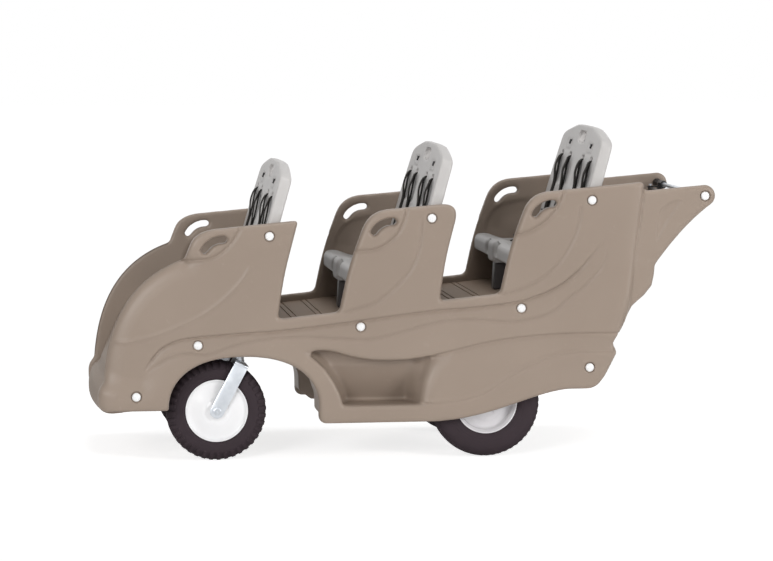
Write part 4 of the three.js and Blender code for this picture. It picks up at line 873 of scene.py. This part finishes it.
rims = [e for e in sharp_edges(post_maker, 0.9) if abs(e.verts[0].co.y - e.verts[1].co.y) < 1e-6]
softened(post_maker, rims, offset=0.003, segments=3)
post = finished(post_maker, "post_pattern", charcoal)
for k, piece in enumerate(row_copies(post, "row_{}_post"), 1):
    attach(piece, "body")
    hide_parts(f"row_{k}_seat_post")

# Backrests
# A domed double-wall panel leant back against its bar, with a grab slot, four strap slots, two small
# adjuster plates and a shallow well for each child.
BACK_DEPTH, BACK_TOP = 0.038, 0.218 / math.cos(RECLINE)
back_half = HALF - 0.0003
back_edge = [(0.0, 0.997), (0.22, 0.995), (0.40, 0.977), (0.62, 0.925), (0.80, 0.876), (0.905, 0.83)]
back_edge += [(0.95, 0.765), (0.966, 0.66), (0.985, 0.436), (1.0, 0.33)]
right_edge = drawn([(out * back_half, up * BACK_TOP) for out, up in back_edge], 5)
BACK_FOOT = -0.37
back_outline = [*right_edge, (back_half, BACK_FOOT), (-back_half, BACK_FOOT)]
back_outline += [(-x, z) for x, z in reversed(right_edge[1:])]


def rounded_box(half_width, top, height, corner):
    low = top - height
    corners = (-half_width, top), (half_width, top), (half_width, low), (-half_width, low)
    return eased([(x, z, corner) for x, z in corners], 6)


STRAPS = 0.305 * HALF, 0.71 * HALF
CHILD = (STRAPS[0] + STRAPS[1]) / 2
strap_slot = rounded_box(half_width=0.019, top=BACK_TOP - 0.1005, height=0.012, corner=0.004)
slots = [[(side * y + x, z) for x, z in strap_slot] for side in (-1, 1) for y in STRAPS]
grab_slot = rounded_box(half_width=0.052, top=BACK_TOP - 0.024, height=0.036, corner=0.0175)
back_maker = bmesh.new()
prism(back_maker, back_outline, -BACK_DEPTH, 0.0, [grab_slot, *slots])
rotated(back_maker, math.pi / 2, "Z")
back = moulded(finished(back_maker, "backrest_pattern"), grain=0.0042, rounds=3)
spots = places(back)
aside, z = np.abs(spots[:, 1]), spots[:, 2]
front_share = step((0.016 - spots[:, 0]) / 0.012)
rear_share = step((spots[:, 0] - 0.022) / 0.012)
flat = spots[:, [1, 2]]
rim = edge_drop(flat, ring(back_outline), width=0.008, depth=0.006)
WELL, PLATE, CHANNEL, HAND_HOLD = 0.0072, 0.0022, 0.0236, 0.031
well = WELL * step((aside - 0.022) / 0.03) * step((0.305 - aside) / 0.05) * step((0.125 - z) / 0.07)
well = well * (1 - 0.45 * step((0.030 - np.abs(z)) / 0.014))
plates = 0
for side in (-1, 1):
    plate = rounded_box(half_width=0.040, top=BACK_TOP - 0.060, height=0.032, corner=0.010)
    plate = [(side * CHILD + x, up) for x, up in plate]
    plates = plates + PLATE * np.exp(-(reach_of(flat, ring(plate))[0] / 0.0045) ** 2)
spots[:, 0] += front_share * (well + plates + rim)
channel = CHANNEL * step((0.0145 - np.abs(z)) / 0.004)
hand_hold = HAND_HOLD * step((0.262 - aside) / 0.03) * step((0.039 - np.abs(z - BACK_TOP + 0.051)) / 0.007)
hand_hold = hand_hold * step((distance(flat, ring(back_outline)) - 0.009) / 0.007)
spots[:, 0] -= rear_share * np.maximum(np.maximum(rim, channel), hand_hold)
spots[:, 0] -= 0.015 * math.cos(RECLINE)
turned_spots = spots.copy()
turned_spots[:, 0] = spots[:, 0] * math.cos(RECLINE) + spots[:, 2] * math.sin(RECLINE) + BAR_X
turned_spots[:, 2] = spots[:, 2] * math.cos(RECLINE) - spots[:, 0] * math.sin(RECLINE) + BAR_Z
set_places(back, turned_spots)
trim = bmesh.new()
trim.from_mesh(back.data)
floor_normal = Vector((-RISE / PITCH, 0, 1)).normalized()
bmesh.ops.bisect_plane(
    trim, geom=trim.verts[:] + trim.edges[:] + trim.faces[:], plane_co=(0, 0, 0.0004), plane_no=floor_normal,
    clear_inner=True,
)
bmesh.ops.holes_fill(trim, edges=[e for e in trim.edges if e.is_boundary], sides=0)
trim.to_mesh(back.data)
trim.free()
back.data.shade_smooth()
back.data.materials.append(grey)
for k, piece in enumerate(row_copies(back, "row_{}_back_panel"), 1):
    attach(piece, "body")
    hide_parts(f"row_{k}_backrest")

# Cross bars
# Zinc-plated tubes through both walls, held at each end by a bolt under a domed white cap.


def mottled(name, scale, detail, dark, light, smooth, rough):
    """A surface whose tone and roughness drift between two limits, with its place and its tree."""
    material, tree, shader = new_material(name)
    place = add(tree, "ShaderNodeTexCoord", {}).outputs["Object"]
    grain_size = {"Scale": scale, "Detail": detail, "Vector": place}
    noise = add(tree, "ShaderNodeTexNoise", grain_size).outputs["Fac"]
    gloss = add(tree, "ShaderNodeMapRange", {"To Min": smooth, "To Max": rough, "Value": noise})
    tone = two_tones(tree, noise, dark, light)
    feed(tree, shader, {"Base Color": tone.outputs["Color"], "Roughness": gloss.outputs["Result"]})
    return material, tree, shader, place


zinc, _, zinc_shader, _ = mottled(
    "zinc_plate", 60, 6, (0.60, 0.64, 0.69), (0.76, 0.79, 0.83), smooth=0.24, rough=0.42,
)
zinc_shader.inputs["Metallic"].default_value = 0.75
white = moulded_plastic("white_plastic", (0.86, 0.86, 0.86), (0.93, 0.93, 0.93), 0.28, depth=0.05, scuffs=0.1)


def poured(source, maker):
    """Adds one mesh in the making to another, and frees it."""
    shape = bpy.data.meshes.new("poured_shape")
    source.to_mesh(shape)
    source.free()
    maker.from_mesh(shape)
    bpy.data.meshes.remove(shape)


def lathe(maker, profile, sides, place=(0, 0, 0), closed=False):
    """Turns a profile of (radius, y) about the y axis, round a place, and adds it to the piece."""
    blank = bmesh.new()
    chain = [blank.verts.new((0, y, r)) for r, y in profile]
    links = [blank.edges.new(pair) for pair in zip(chain, chain[1:] + (chain[:1] if closed else []))]
    bmesh.ops.spin(
        blank, geom=chain + links, cent=(0, 0, 0), axis=(0, 1, 0), angle=2 * math.pi, steps=sides,
        use_merge=True,
    )
    bmesh.ops.remove_doubles(blank, verts=blank.verts[:], dist=1e-6)
    bmesh.ops.recalc_face_normals(blank, faces=blank.faces[:])
    moved(blank, place)
    poured(blank, maker)


dome = [(0.0, 0.005), (0.004, 0.0048), (0.008, 0.0040), (0.0112, 0.0026), (0.0130, 0.0008), (0.0135, -0.0010)]
dome += [(0.0135, -0.0015), (0.0, -0.0015)]
BOLT, BAR_RADIUS, PUSH_BAR_RADIUS = 0.006, 0.009, 0.007
bars = [(f"row_{k + 1}_back_bar", *caps[k]) for k in range(3)]
bars += [(f"row_{k + 1}_floor_bar", *caps[k + 3]) for k in range(3)]
bars += [("nose_bar", *caps[6]), ("rear_bar", *caps[7]), ("push_bar", *caps[8])]
for node, x, z, face in bars:
    radius = PUSH_BAR_RADIUS if node == "push_bar" else BAR_RADIUS
    tube_maker = bmesh.new()
    seat = face - 0.0027
    lathe(tube_maker, [
        (0, -seat), (BOLT, -seat), (BOLT, -HALF), (radius - 0.001, -HALF), (radius, -HALF + 0.001),
        (radius, HALF - 0.001), (radius - 0.001, HALF), (BOLT, HALF), (BOLT, seat), (0, seat),
    ], 32, (x, 0, z))
    tube = finished(tube_maker, f"{node}_tube", zinc)
    cap_maker = bmesh.new()
    for side in (-1, 1):
        lathe(cap_maker, [(r, side * (seat + h)) for r, h in dome], 32, (x, 0, z))
    cap = finished(cap_maker, f"{node}_caps", white)
    for piece in (tube, cap):
        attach(piece, "body")
    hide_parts(node)

# Harnesses
# Black woven webbing: two shoulder straps out of each child's slots with a slack loop over an adjuster,
# a lap strap, a crotch strap and a moulded buckle.
webbing, web_tree, web_shader = new_material("black_webbing")
web_place = add(web_tree, "ShaderNodeTexCoord", {}).outputs["Object"]
along_ribs = {"Vector": web_place, "Scale": 210, "Distortion": 0.6}
along = add(web_tree, "ShaderNodeTexWave", along_ribs, wave_type="BANDS", bands_direction="Z")
cross_ribs = {"Vector": web_place, "Scale": 190}
across_web = add(web_tree, "ShaderNodeTexWave", cross_ribs, bands_direction="Y")
threads = {0: along.outputs["Fac"], 1: across_web.outputs["Fac"]}
weave = add(web_tree, "ShaderNodeMath", threads, operation="MULTIPLY")
web_tone = two_tones(web_tree, weave.outputs[0], (0.012, 0.011, 0.010), (0.075, 0.068, 0.062))
web_bump = add(web_tree, "ShaderNodeBump", {"Distance": 0.0005, "Strength": 0.6, "Height": weave.outputs[0]})
feed(web_tree, web_shader, {
    "Base Color": web_tone.outputs["Color"], "Normal": web_bump.outputs["Normal"], "Roughness": 0.8,
    "Specular IOR Level": 0.15,
})
black = moulded_plastic("black_plastic", (0.012, 0.011, 0.011), (0.024, 0.022, 0.022), 0.38, depth=0.1)
SIDES = ("left", -1), ("right", 1)
WIDTH, THICKNESS, LAP_WIDTH = 0.028, 0.0024, 0.030
slot_z = BAR_Z + 0.218 - 0.1065 * math.cos(RECLINE)
strap_low = SEAT_TOP - 0.010


def ply(maker, line, across):
    """A flat strap: a line of (x, y, z) swept across itself, with the webbing's thickness."""
    verts = [maker.verts.new(point) for point in line]
    edges = [maker.edges.new(pair) for pair in zip(verts, verts[1:])]
    grown = bmesh.ops.extrude_edge_only(maker, edges=edges)["geom"]
    bmesh.ops.translate(maker, verts=verts_of(grown), vec=across)
    bmesh.ops.solidify(maker, geom=faces_of(grown), thickness=THICKNESS)


def ribbon(maker, line, middle, width):
    """A strap of a width that follows a line of (x, z), round a middle place along y."""
    ply(maker, [(x, middle - width / 2, z) for x, z in line], (0, width, 0))


def off_back(line):
    """A smooth line in front of the backrest, from (share of the way up, gap) pairs."""
    points = []
    for share, away in line:
        z = strap_low + share * (slot_z - strap_low)
        points.append((back_face(z) + 0.006 * step(np.array((0.86 - share) / 0.2)) - away, z))
    return points


def box(maker, size, place=(0, 0, 0), turn=None):
    """Adds a block of that size at a place, turned first if a rotation is given."""
    verts = bmesh.ops.create_cube(maker, size=1)["verts"]
    bmesh.ops.scale(maker, verts=verts, vec=size)
    if turn:
        bmesh.ops.rotate(maker, verts=verts, cent=(0, 0, 0), matrix=turn)
    bmesh.ops.translate(maker, verts=verts, vec=place)


hug_shares = [(1.0, -0.012), (0.995, 0.0025), (0.93, 0.004), (0.75, 0.003), (0.5, 0.0035), (0.25, 0.003)]
hug_shares += [(0.05, 0.004), (0.0, 0.010)]
lap_x = back_face(strap_low) - 0.016
lap_shape = (-0.088, -0.002), (-0.05, 0.001), (0, 0.012), (0.05, 0.001), (0.088, -0.002)
crotch = drawn([
    (LIP + 0.095, strap_low - 0.006), (LIP + 0.11, strap_low - 0.001), (lap_x - 0.06, strap_low + 0.008),
    (lap_x - 0.030, strap_low + 0.013),
], 5)
for k in range(3):
    for label, sign in SIDES:
        middle = sign * CHILD
        harness_maker = bmesh.new()
        for side in (-1, 1):
            y = middle + side * (STRAPS[1] - STRAPS[0]) / 2
            lean = 0.0015 * side
            loop_shares = [(0.985, 0.0065), (0.93, 0.0095 + lean), (0.84, 0.0115), (0.70, 0.0095 - lean)]
            loop_shares += [(0.56, 0.0075), (0.42, 0.0095 + lean), (0.28, 0.0095), (0.16, 0.0070)]
            ribbon(harness_maker, drawn(off_back(hug_shares), 5), y, WIDTH)
            ribbon(harness_maker, drawn(off_back(loop_shares), 5), y + 0.001 * side, WIDTH - 0.002)
        lap = drawn([(middle + aside, strap_low + up) for aside, up in lap_shape], 5)
        ply(harness_maker, [(lap_x - LAP_WIDTH, y, z) for y, z in lap], (LAP_WIDTH, 0, 0))
        ribbon(harness_maker, crotch, middle, WIDTH)
        bmesh.ops.recalc_face_normals(harness_maker, faces=harness_maker.faces[:])
        moved(harness_maker, row_place(k))
        straps = finished(harness_maker, f"row_{k + 1}_{label}_straps", webbing)
        buckle_maker = bmesh.new()
        box(buckle_maker, (0.046, 0.040, 0.013))
        softened(buckle_maker, buckle_maker.edges[:], offset=0.004, segments=4)
        button = bmesh.ops.create_cone(
            buckle_maker, cap_ends=True, segments=28, radius1=0.0105, radius2=0.0095, depth=0.004,
        )["verts"]
        bmesh.ops.translate(buckle_maker, verts=button, vec=(0.004, 0, 0.0075))
        for side in (-1, 1):
            box(buckle_maker, (0.034, 0.004, 0.007), (0.012, side * 0.0215, 0.001))
        moved(buckle_maker, row_place(k, lap_x - 0.052, middle, strap_low + 0.0105))
        (adjuster_x, adjuster_z), = off_back([(0.30, 0.014)])
        for side in (-1, 1):
            y = middle + side * (STRAPS[1] - STRAPS[0]) / 2
            for rung in (-0.009, 0.0, 0.009):
                box(buckle_maker, (0.005, 0.038, 0.004), row_place(k, adjuster_x, y, adjuster_z + rung))
        tab_z = BAR_Z + (BACK_TOP - 0.076) * math.cos(RECLINE) + 0.0145
        tab_place = row_place(k, back_face(tab_z) - 0.0012, middle - 0.010, tab_z)
        box(buckle_maker, (0.004, 0.017, 0.015), tab_place, Matrix.Rotation(RECLINE, 3, "Y"))
        buckle = finished(buckle_maker, f"row_{k + 1}_{label}_buckle", black)
        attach(straps, "body")
        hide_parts(f"row_{k + 1}_{label}_harness")
        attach(buckle, "body")

# Front tyres
# Black rubber on each caster, with a ring of shoulder blocks round both edges of the tread, two crown grooves
# and fine moulded rings on the sidewalls.
rubber, rubber_tree, rubber_shader, rubber_place = mottled(
    "black_rubber", 14, 8, (0.030, 0.0205, 0.0245), (0.047, 0.0335, 0.0400), smooth=0.55, rough=0.8,
)
pores = add(rubber_tree, "ShaderNodeTexNoise", {"Scale": 600, "Vector": rubber_place})
pore_depth = {"Distance": 0.0005, "Strength": 0.2, "Height": pores.outputs["Fac"]}
pore_bump = add(rubber_tree, "ShaderNodeBump", pore_depth)
feed(rubber_tree, rubber_shader, {"Normal": pore_bump.outputs["Normal"], "Specular IOR Level": 0.2})


def both_halves(side):
    """A closed section from its half on one side of the wheel's middle plane."""
    return side + [(r, -y) for r, y in reversed(side) if y > 1e-6]


def tyre(name, side, blocks, block_span, block_rise, place):
    """A tyre turned from half a section of (radius, y), with every other stretch of its shoulder raised."""
    maker = bmesh.new()
    lathe(maker, both_halves(side), blocks * 2, closed=True)
    inside, outside, least_y = block_span
    shoulder_faces = []
    for face in maker.faces:
        middle = face.calc_center_median()
        radius = math.hypot(middle.x, middle.z)
        around = int((math.atan2(middle.z, middle.x) / (2 * math.pi) * blocks * 2) % (blocks * 2))
        if inside < radius < outside and abs(middle.y) > least_y and around % 2 == 0:
            shoulder_faces.append(face)
    grown = bmesh.ops.extrude_face_region(maker, geom=shoulder_faces)["geom"]
    bmesh.ops.delete(maker, geom=shoulder_faces, context="FACES")
    for vert in verts_of(grown):
        radius = math.hypot(vert.co.x, vert.co.z)
        raised = min(radius + block_rise * 0.75, side[-1][0]) / radius
        vert.co.x *= raised
        vert.co.z *= raised
        vert.co.y += math.copysign(block_rise * 0.55, vert.co.y)
    bmesh.ops.remove_doubles(maker, verts=maker.verts[:], dist=1e-6)
    bmesh.ops.recalc_face_normals(maker, faces=maker.faces[:])
    moved(maker, place)
    piece = finished(maker, name, rubber)
    piece.data.set_sharp_from_angle(angle=math.radians(38))
    return piece


PIVOT_X, TRAIL, CASTER_Y = -0.520, 0.072, 0.240


def front_hub(sign):
    return PIVOT_X - TRAIL, sign * CASTER_Y, FRONT_RADIUS


front_side = [
    (0.0905, 0.0265), (0.0930, 0.0290), (0.0985, 0.0310), (0.1020, 0.0350), (0.1060, 0.0362),
    (0.1066, 0.0356), (0.1130, 0.0366), (0.1136, 0.0360), (0.1210, 0.0366), (0.1290, 0.0358),
    (0.1340, 0.0346), (0.1400, 0.0322), (0.1450, 0.0290), (0.1490, 0.0250), (0.1530, 0.0190),
    (0.1546, 0.0140), (0.1528, 0.0125), (0.1530, 0.0105), (0.1556, 0.0090), (0.1560, 0.0),
]
for label, sign in SIDES:
    front_tyre = tyre(
        f"{label}_front_tyre_rubber", front_side, blocks=40, block_span=(0.131, 0.1515, 0.02),
        block_rise=0.0052, place=front_hub(sign),
    )
    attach(front_tyre, f"{label}_front_wheel")
    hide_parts(f"{label}_front_tyre")

# Rear tyres
# Wider rubber tyres on the fixed axle, with a ribbed tread and a shallow block pattern on each shoulder.
REAR_WHEEL_Y = 0.272


def rear_hub(sign):
    return REAR_AXLE, sign * REAR_WHEEL_Y, REAR_RADIUS


rear_side = [
    (0.0915, 0.0330), (0.0945, 0.0352), (0.0990, 0.0370), (0.1060, 0.0425), (0.1150, 0.0443),
    (0.1158, 0.0437), (0.1230, 0.0447), (0.1238, 0.0441), (0.1330, 0.0446), (0.1430, 0.0440),
    (0.1510, 0.0420), (0.1570, 0.0390), (0.1620, 0.0350), (0.1660, 0.0300), (0.1690, 0.0240),
    (0.1704, 0.0180), (0.1684, 0.0165), (0.1686, 0.0145), (0.1716, 0.0125), (0.1720, 0.0060),
    (0.1702, 0.0045), (0.1702, 0.0),
]
for label, sign in SIDES:
    rear_tyre = tyre(
        f"{label}_rear_tyre_rubber", rear_side, blocks=52, block_span=(0.160, 0.1675, 0.02),
        block_rise=0.0016, place=rear_hub(sign),
    )
    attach(rear_tyre, f"{label}_rear_wheel")
    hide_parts(f"{label}_rear_tyre")

# Front rims
# White moulded plastic discs with a rolled flange, a shallow cone to the hub and a raised hub ring.
gloss_white = moulded_plastic(
    "gloss_white_plastic", (0.88, 0.88, 0.89), (0.94, 0.94, 0.95), roughness=0.2, depth=0.03, scuffs=0.12,
    cloud_scale=9,
)
front_rim_side = [
    (0.0900, 0.0268), (0.0925, 0.0290), (0.0960, 0.0300), (0.0976, 0.0322), (0.0976, 0.0338),
    (0.0962, 0.0345), (0.0944, 0.0338), (0.0925, 0.0312), (0.0890, 0.0282), (0.0830, 0.0278),
    (0.0760, 0.0296), (0.0620, 0.0336), (0.0480, 0.0372), (0.0400, 0.0386), (0.0380, 0.0376),
    (0.0360, 0.0380), (0.0270, 0.0408), (0.0235, 0.0438), (0.0225, 0.0440), (0.0066, 0.0440),
]
for label, sign in SIDES:
    rim_maker = bmesh.new()
    lathe(rim_maker, both_halves(front_rim_side), 96, closed=True)
    moved(rim_maker, front_hub(sign))
    front_rim = finished(rim_maker, f"{label}_front_wheel_disc", gloss_white)
    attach(front_rim, f"{label}_front_wheel")
    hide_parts(f"{label}_front_rim")

# Rear rims
# Pressed steel in white enamel: a rolled flange, a deep well, a flat disc with four bolts, and a hub.
enamel, _, enamel_shader, _ = mottled(
    "white_enamel", 22, 5, (0.70, 0.68, 0.70), (0.80, 0.79, 0.81), smooth=0.16, rough=0.3,
)
enamel_shader.inputs["Coat Weight"].default_value = 0.4
rear_rim_side = [
    (0.0908, 0.0328), (0.0935, 0.0350), (0.0955, 0.0366), (0.0976, 0.0386), (0.0976, 0.0400),
    (0.0962, 0.0405), (0.0945, 0.0398), (0.0925, 0.0372), (0.0888, 0.0340), (0.0868, 0.0300),
    (0.0858, 0.0180), (0.0840, 0.0140), (0.0790, 0.0125), (0.0640, 0.0125), (0.0600, 0.0140),
    (0.0560, 0.0165), (0.0440, 0.0170), (0.0300, 0.0175), (0.0250, 0.0200), (0.0225, 0.0250),
    (0.0220, 0.0370), (0.0210, 0.0380), (0.0086, 0.0380),
]
BOLT_CIRCLE = 0.044
for label, sign in SIDES:
    rim_maker = bmesh.new()
    lathe(rim_maker, both_halves(rear_rim_side), 96, closed=True)
    for side in (-1, 1):
        outward = Matrix.Rotation(-side * math.pi / 2, 3, "X")
        for x, z in arc(0, 0, BOLT_CIRCLE, math.pi / 4, math.pi * 7 / 4, 3):
            bolt = bmesh.ops.create_cone(
                rim_maker, cap_ends=True, segments=6, radius1=0.0062, radius2=0.0058, depth=0.005,
            )["verts"]
            bmesh.ops.rotate(rim_maker, verts=bolt, cent=(0, 0, 0), matrix=outward)
            bmesh.ops.translate(rim_maker, verts=bolt, vec=(x, side * 0.0190, z))
    moved(rim_maker, rear_hub(sign))
    rear_rim = finished(rim_maker, f"{label}_rear_wheel_disc", enamel)
    rear_rim.data.set_sharp_from_angle(angle=math.radians(50))
    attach(rear_rim, f"{label}_rear_wheel")
    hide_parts(f"{label}_rear_rim")

# Caster forks
# A zinc-plated strap bent over the wheel into two legs, leant forwards from a round stem with a race under
# the frame's housing.
FORK_HALF, PLATE, FORK_WIDTH, LEAN = 0.046, 0.006, 0.044, math.radians(28)
REACH = FRONT_RADIUS + 0.008 + PLATE
HALF_WIDTH, AXLE_HOLE = FORK_WIDTH / 2, 0.0066
fork_maker = bmesh.new()
leg = [(-HALF_WIDTH, REACH - 0.010), (HALF_WIDTH, REACH - 0.010), *arc(0, 0, HALF_WIDTH, 0, -math.pi, 20)]
hole = arc(0, 0, AXLE_HOLE, 0, 2 * math.pi, 20)[:-1]
outer, bend_foot = FORK_HALF + PLATE, REACH - 0.012
strap_bend = [(outer, bend_foot, 0), (outer, REACH, 0.010), (-outer, REACH, 0.010), (-outer, bend_foot, 0)]
strap_bend += [(-FORK_HALF, bend_foot, 0), (-FORK_HALF, REACH - PLATE, 0.004)]
strap_bend += [(FORK_HALF, REACH - PLATE, 0.004), (FORK_HALF, bend_foot, 0)]
crown_maker = bmesh.new()
prism(crown_maker, eased(strap_bend, 5), -HALF_WIDTH, HALF_WIDTH)
rotated(crown_maker, math.pi / 2, "Z")
for side in (-1, 1):
    near, far = sorted((side * FORK_HALF, side * outer))
    prism(fork_maker, leg, near, far, [hole])
poured(crown_maker, fork_maker)
bmesh.ops.remove_doubles(fork_maker, verts=fork_maker.verts[:], dist=1e-5)
bmesh.ops.recalc_face_normals(fork_maker, faces=fork_maker.faces[:])
bmesh.ops.bevel(
    fork_maker, geom=sharp_edges(fork_maker, 0.8), offset=0.0011, segments=2, profile=0.5, affect="EDGES",
    material=-1, clamp_overlap=True,
)
rotated(fork_maker, LEAN, "Y")
crown_z = REACH * math.cos(LEAN) - PLATE
housing_bottom = 0.336 - FRONT_RADIUS
stem_maker = bmesh.new()
lathe(stem_maker, [
    (0, crown_z - 0.006), (0.018, crown_z - 0.006), (0.018, crown_z + 0.010), (0.0165, crown_z + 0.0115),
    (0.0165, housing_bottom - 0.0045), (0.0178, housing_bottom - 0.0030), (0.0178, housing_bottom - 0.0003),
    (0.008, housing_bottom - 0.0003), (0.008, 0.2250), (0, 0.2250),
], 40)
rotated(stem_maker, math.pi / 2, "X")
moved(stem_maker, (TRAIL, 0, 0))
poured(stem_maker, fork_maker)
for label, sign in SIDES:
    copy = fork_maker.copy()
    moved(copy, front_hub(sign))
    fork = finished(copy, f"{label}_caster_fork_strap", zinc)
    fork.data.set_sharp_from_angle(angle=math.radians(40))
    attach(fork, f"{label}_caster")
    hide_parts(f"{label}_caster_fork")
fork_maker.free()

# Front axle bolts
# A zinc bolt through each fork with a washer under a hexagon head on one leg and a nut and thread end on the
# other.
outside = FORK_HALF + PLATE + 0.0003
washer = [(0.0056, 0), (0.0120, 0), (0.0120, 0.0016), (0.0114, 0.0020), (0.0056, 0.0020)]
head = [(0.0, 0.0020), (0.0098, 0.0020), (0.0100, 0.0060), (0.0086, 0.0070), (0.0, 0.0068)]
shank = [(0, -outside - 0.0085), (0.0045, -outside - 0.0085), (0.0055, -outside - 0.0075), (0.0058, -outside)]
shank += [(0.0058, outside), (0, outside)]
for label, sign in SIDES:
    bolt_maker = bmesh.new()
    lathe(bolt_maker, shank, 32)
    for side in (-1, 1):
        lathe(bolt_maker, [(r, side * (outside + out)) for r, out in washer], 36, closed=True)
        lathe(bolt_maker, [(r, side * (outside + out)) for r, out in head], 6)
    moved(bolt_maker, front_hub(sign))
    bolt = finished(bolt_maker, f"{label}_front_axle_bolt", zinc)
    bolt.data.set_sharp_from_angle(angle=math.radians(35))
    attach(bolt, next(
        b for b, members in frame["record"]["behaviour"]["bodies"].items() if f"{label}_front_axle" in members
    ))
    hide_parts(f"{label}_front_axle")

# Steel frames, axle and pins
# The welded caster frame, the rear axle frame, the axle with its nuts and the brake's pins, all zinc-plated.
zinc_nodes = "caster_frame", "rear_axle_frame", "rear_axle", "left_axle_nut", "right_axle_nut"
for node in (*zinc_nodes, "brake_pivot_pin", "brake_lever_pin"):
    frame["nodes"][node].material_slots[0].material = zinc

# Brake and push bar fittings
# Black moulded plastic: the sleeves against both arms, the lever with its clamp, and the coated brake bar.
sleeves = "left_push_bar_sleeve", "right_push_bar_sleeve"
for node in ("brake_bar", *sleeves, "brake_lever_bracket", "brake_lever"):
    frame["nodes"][node].material_slots[0].material = black
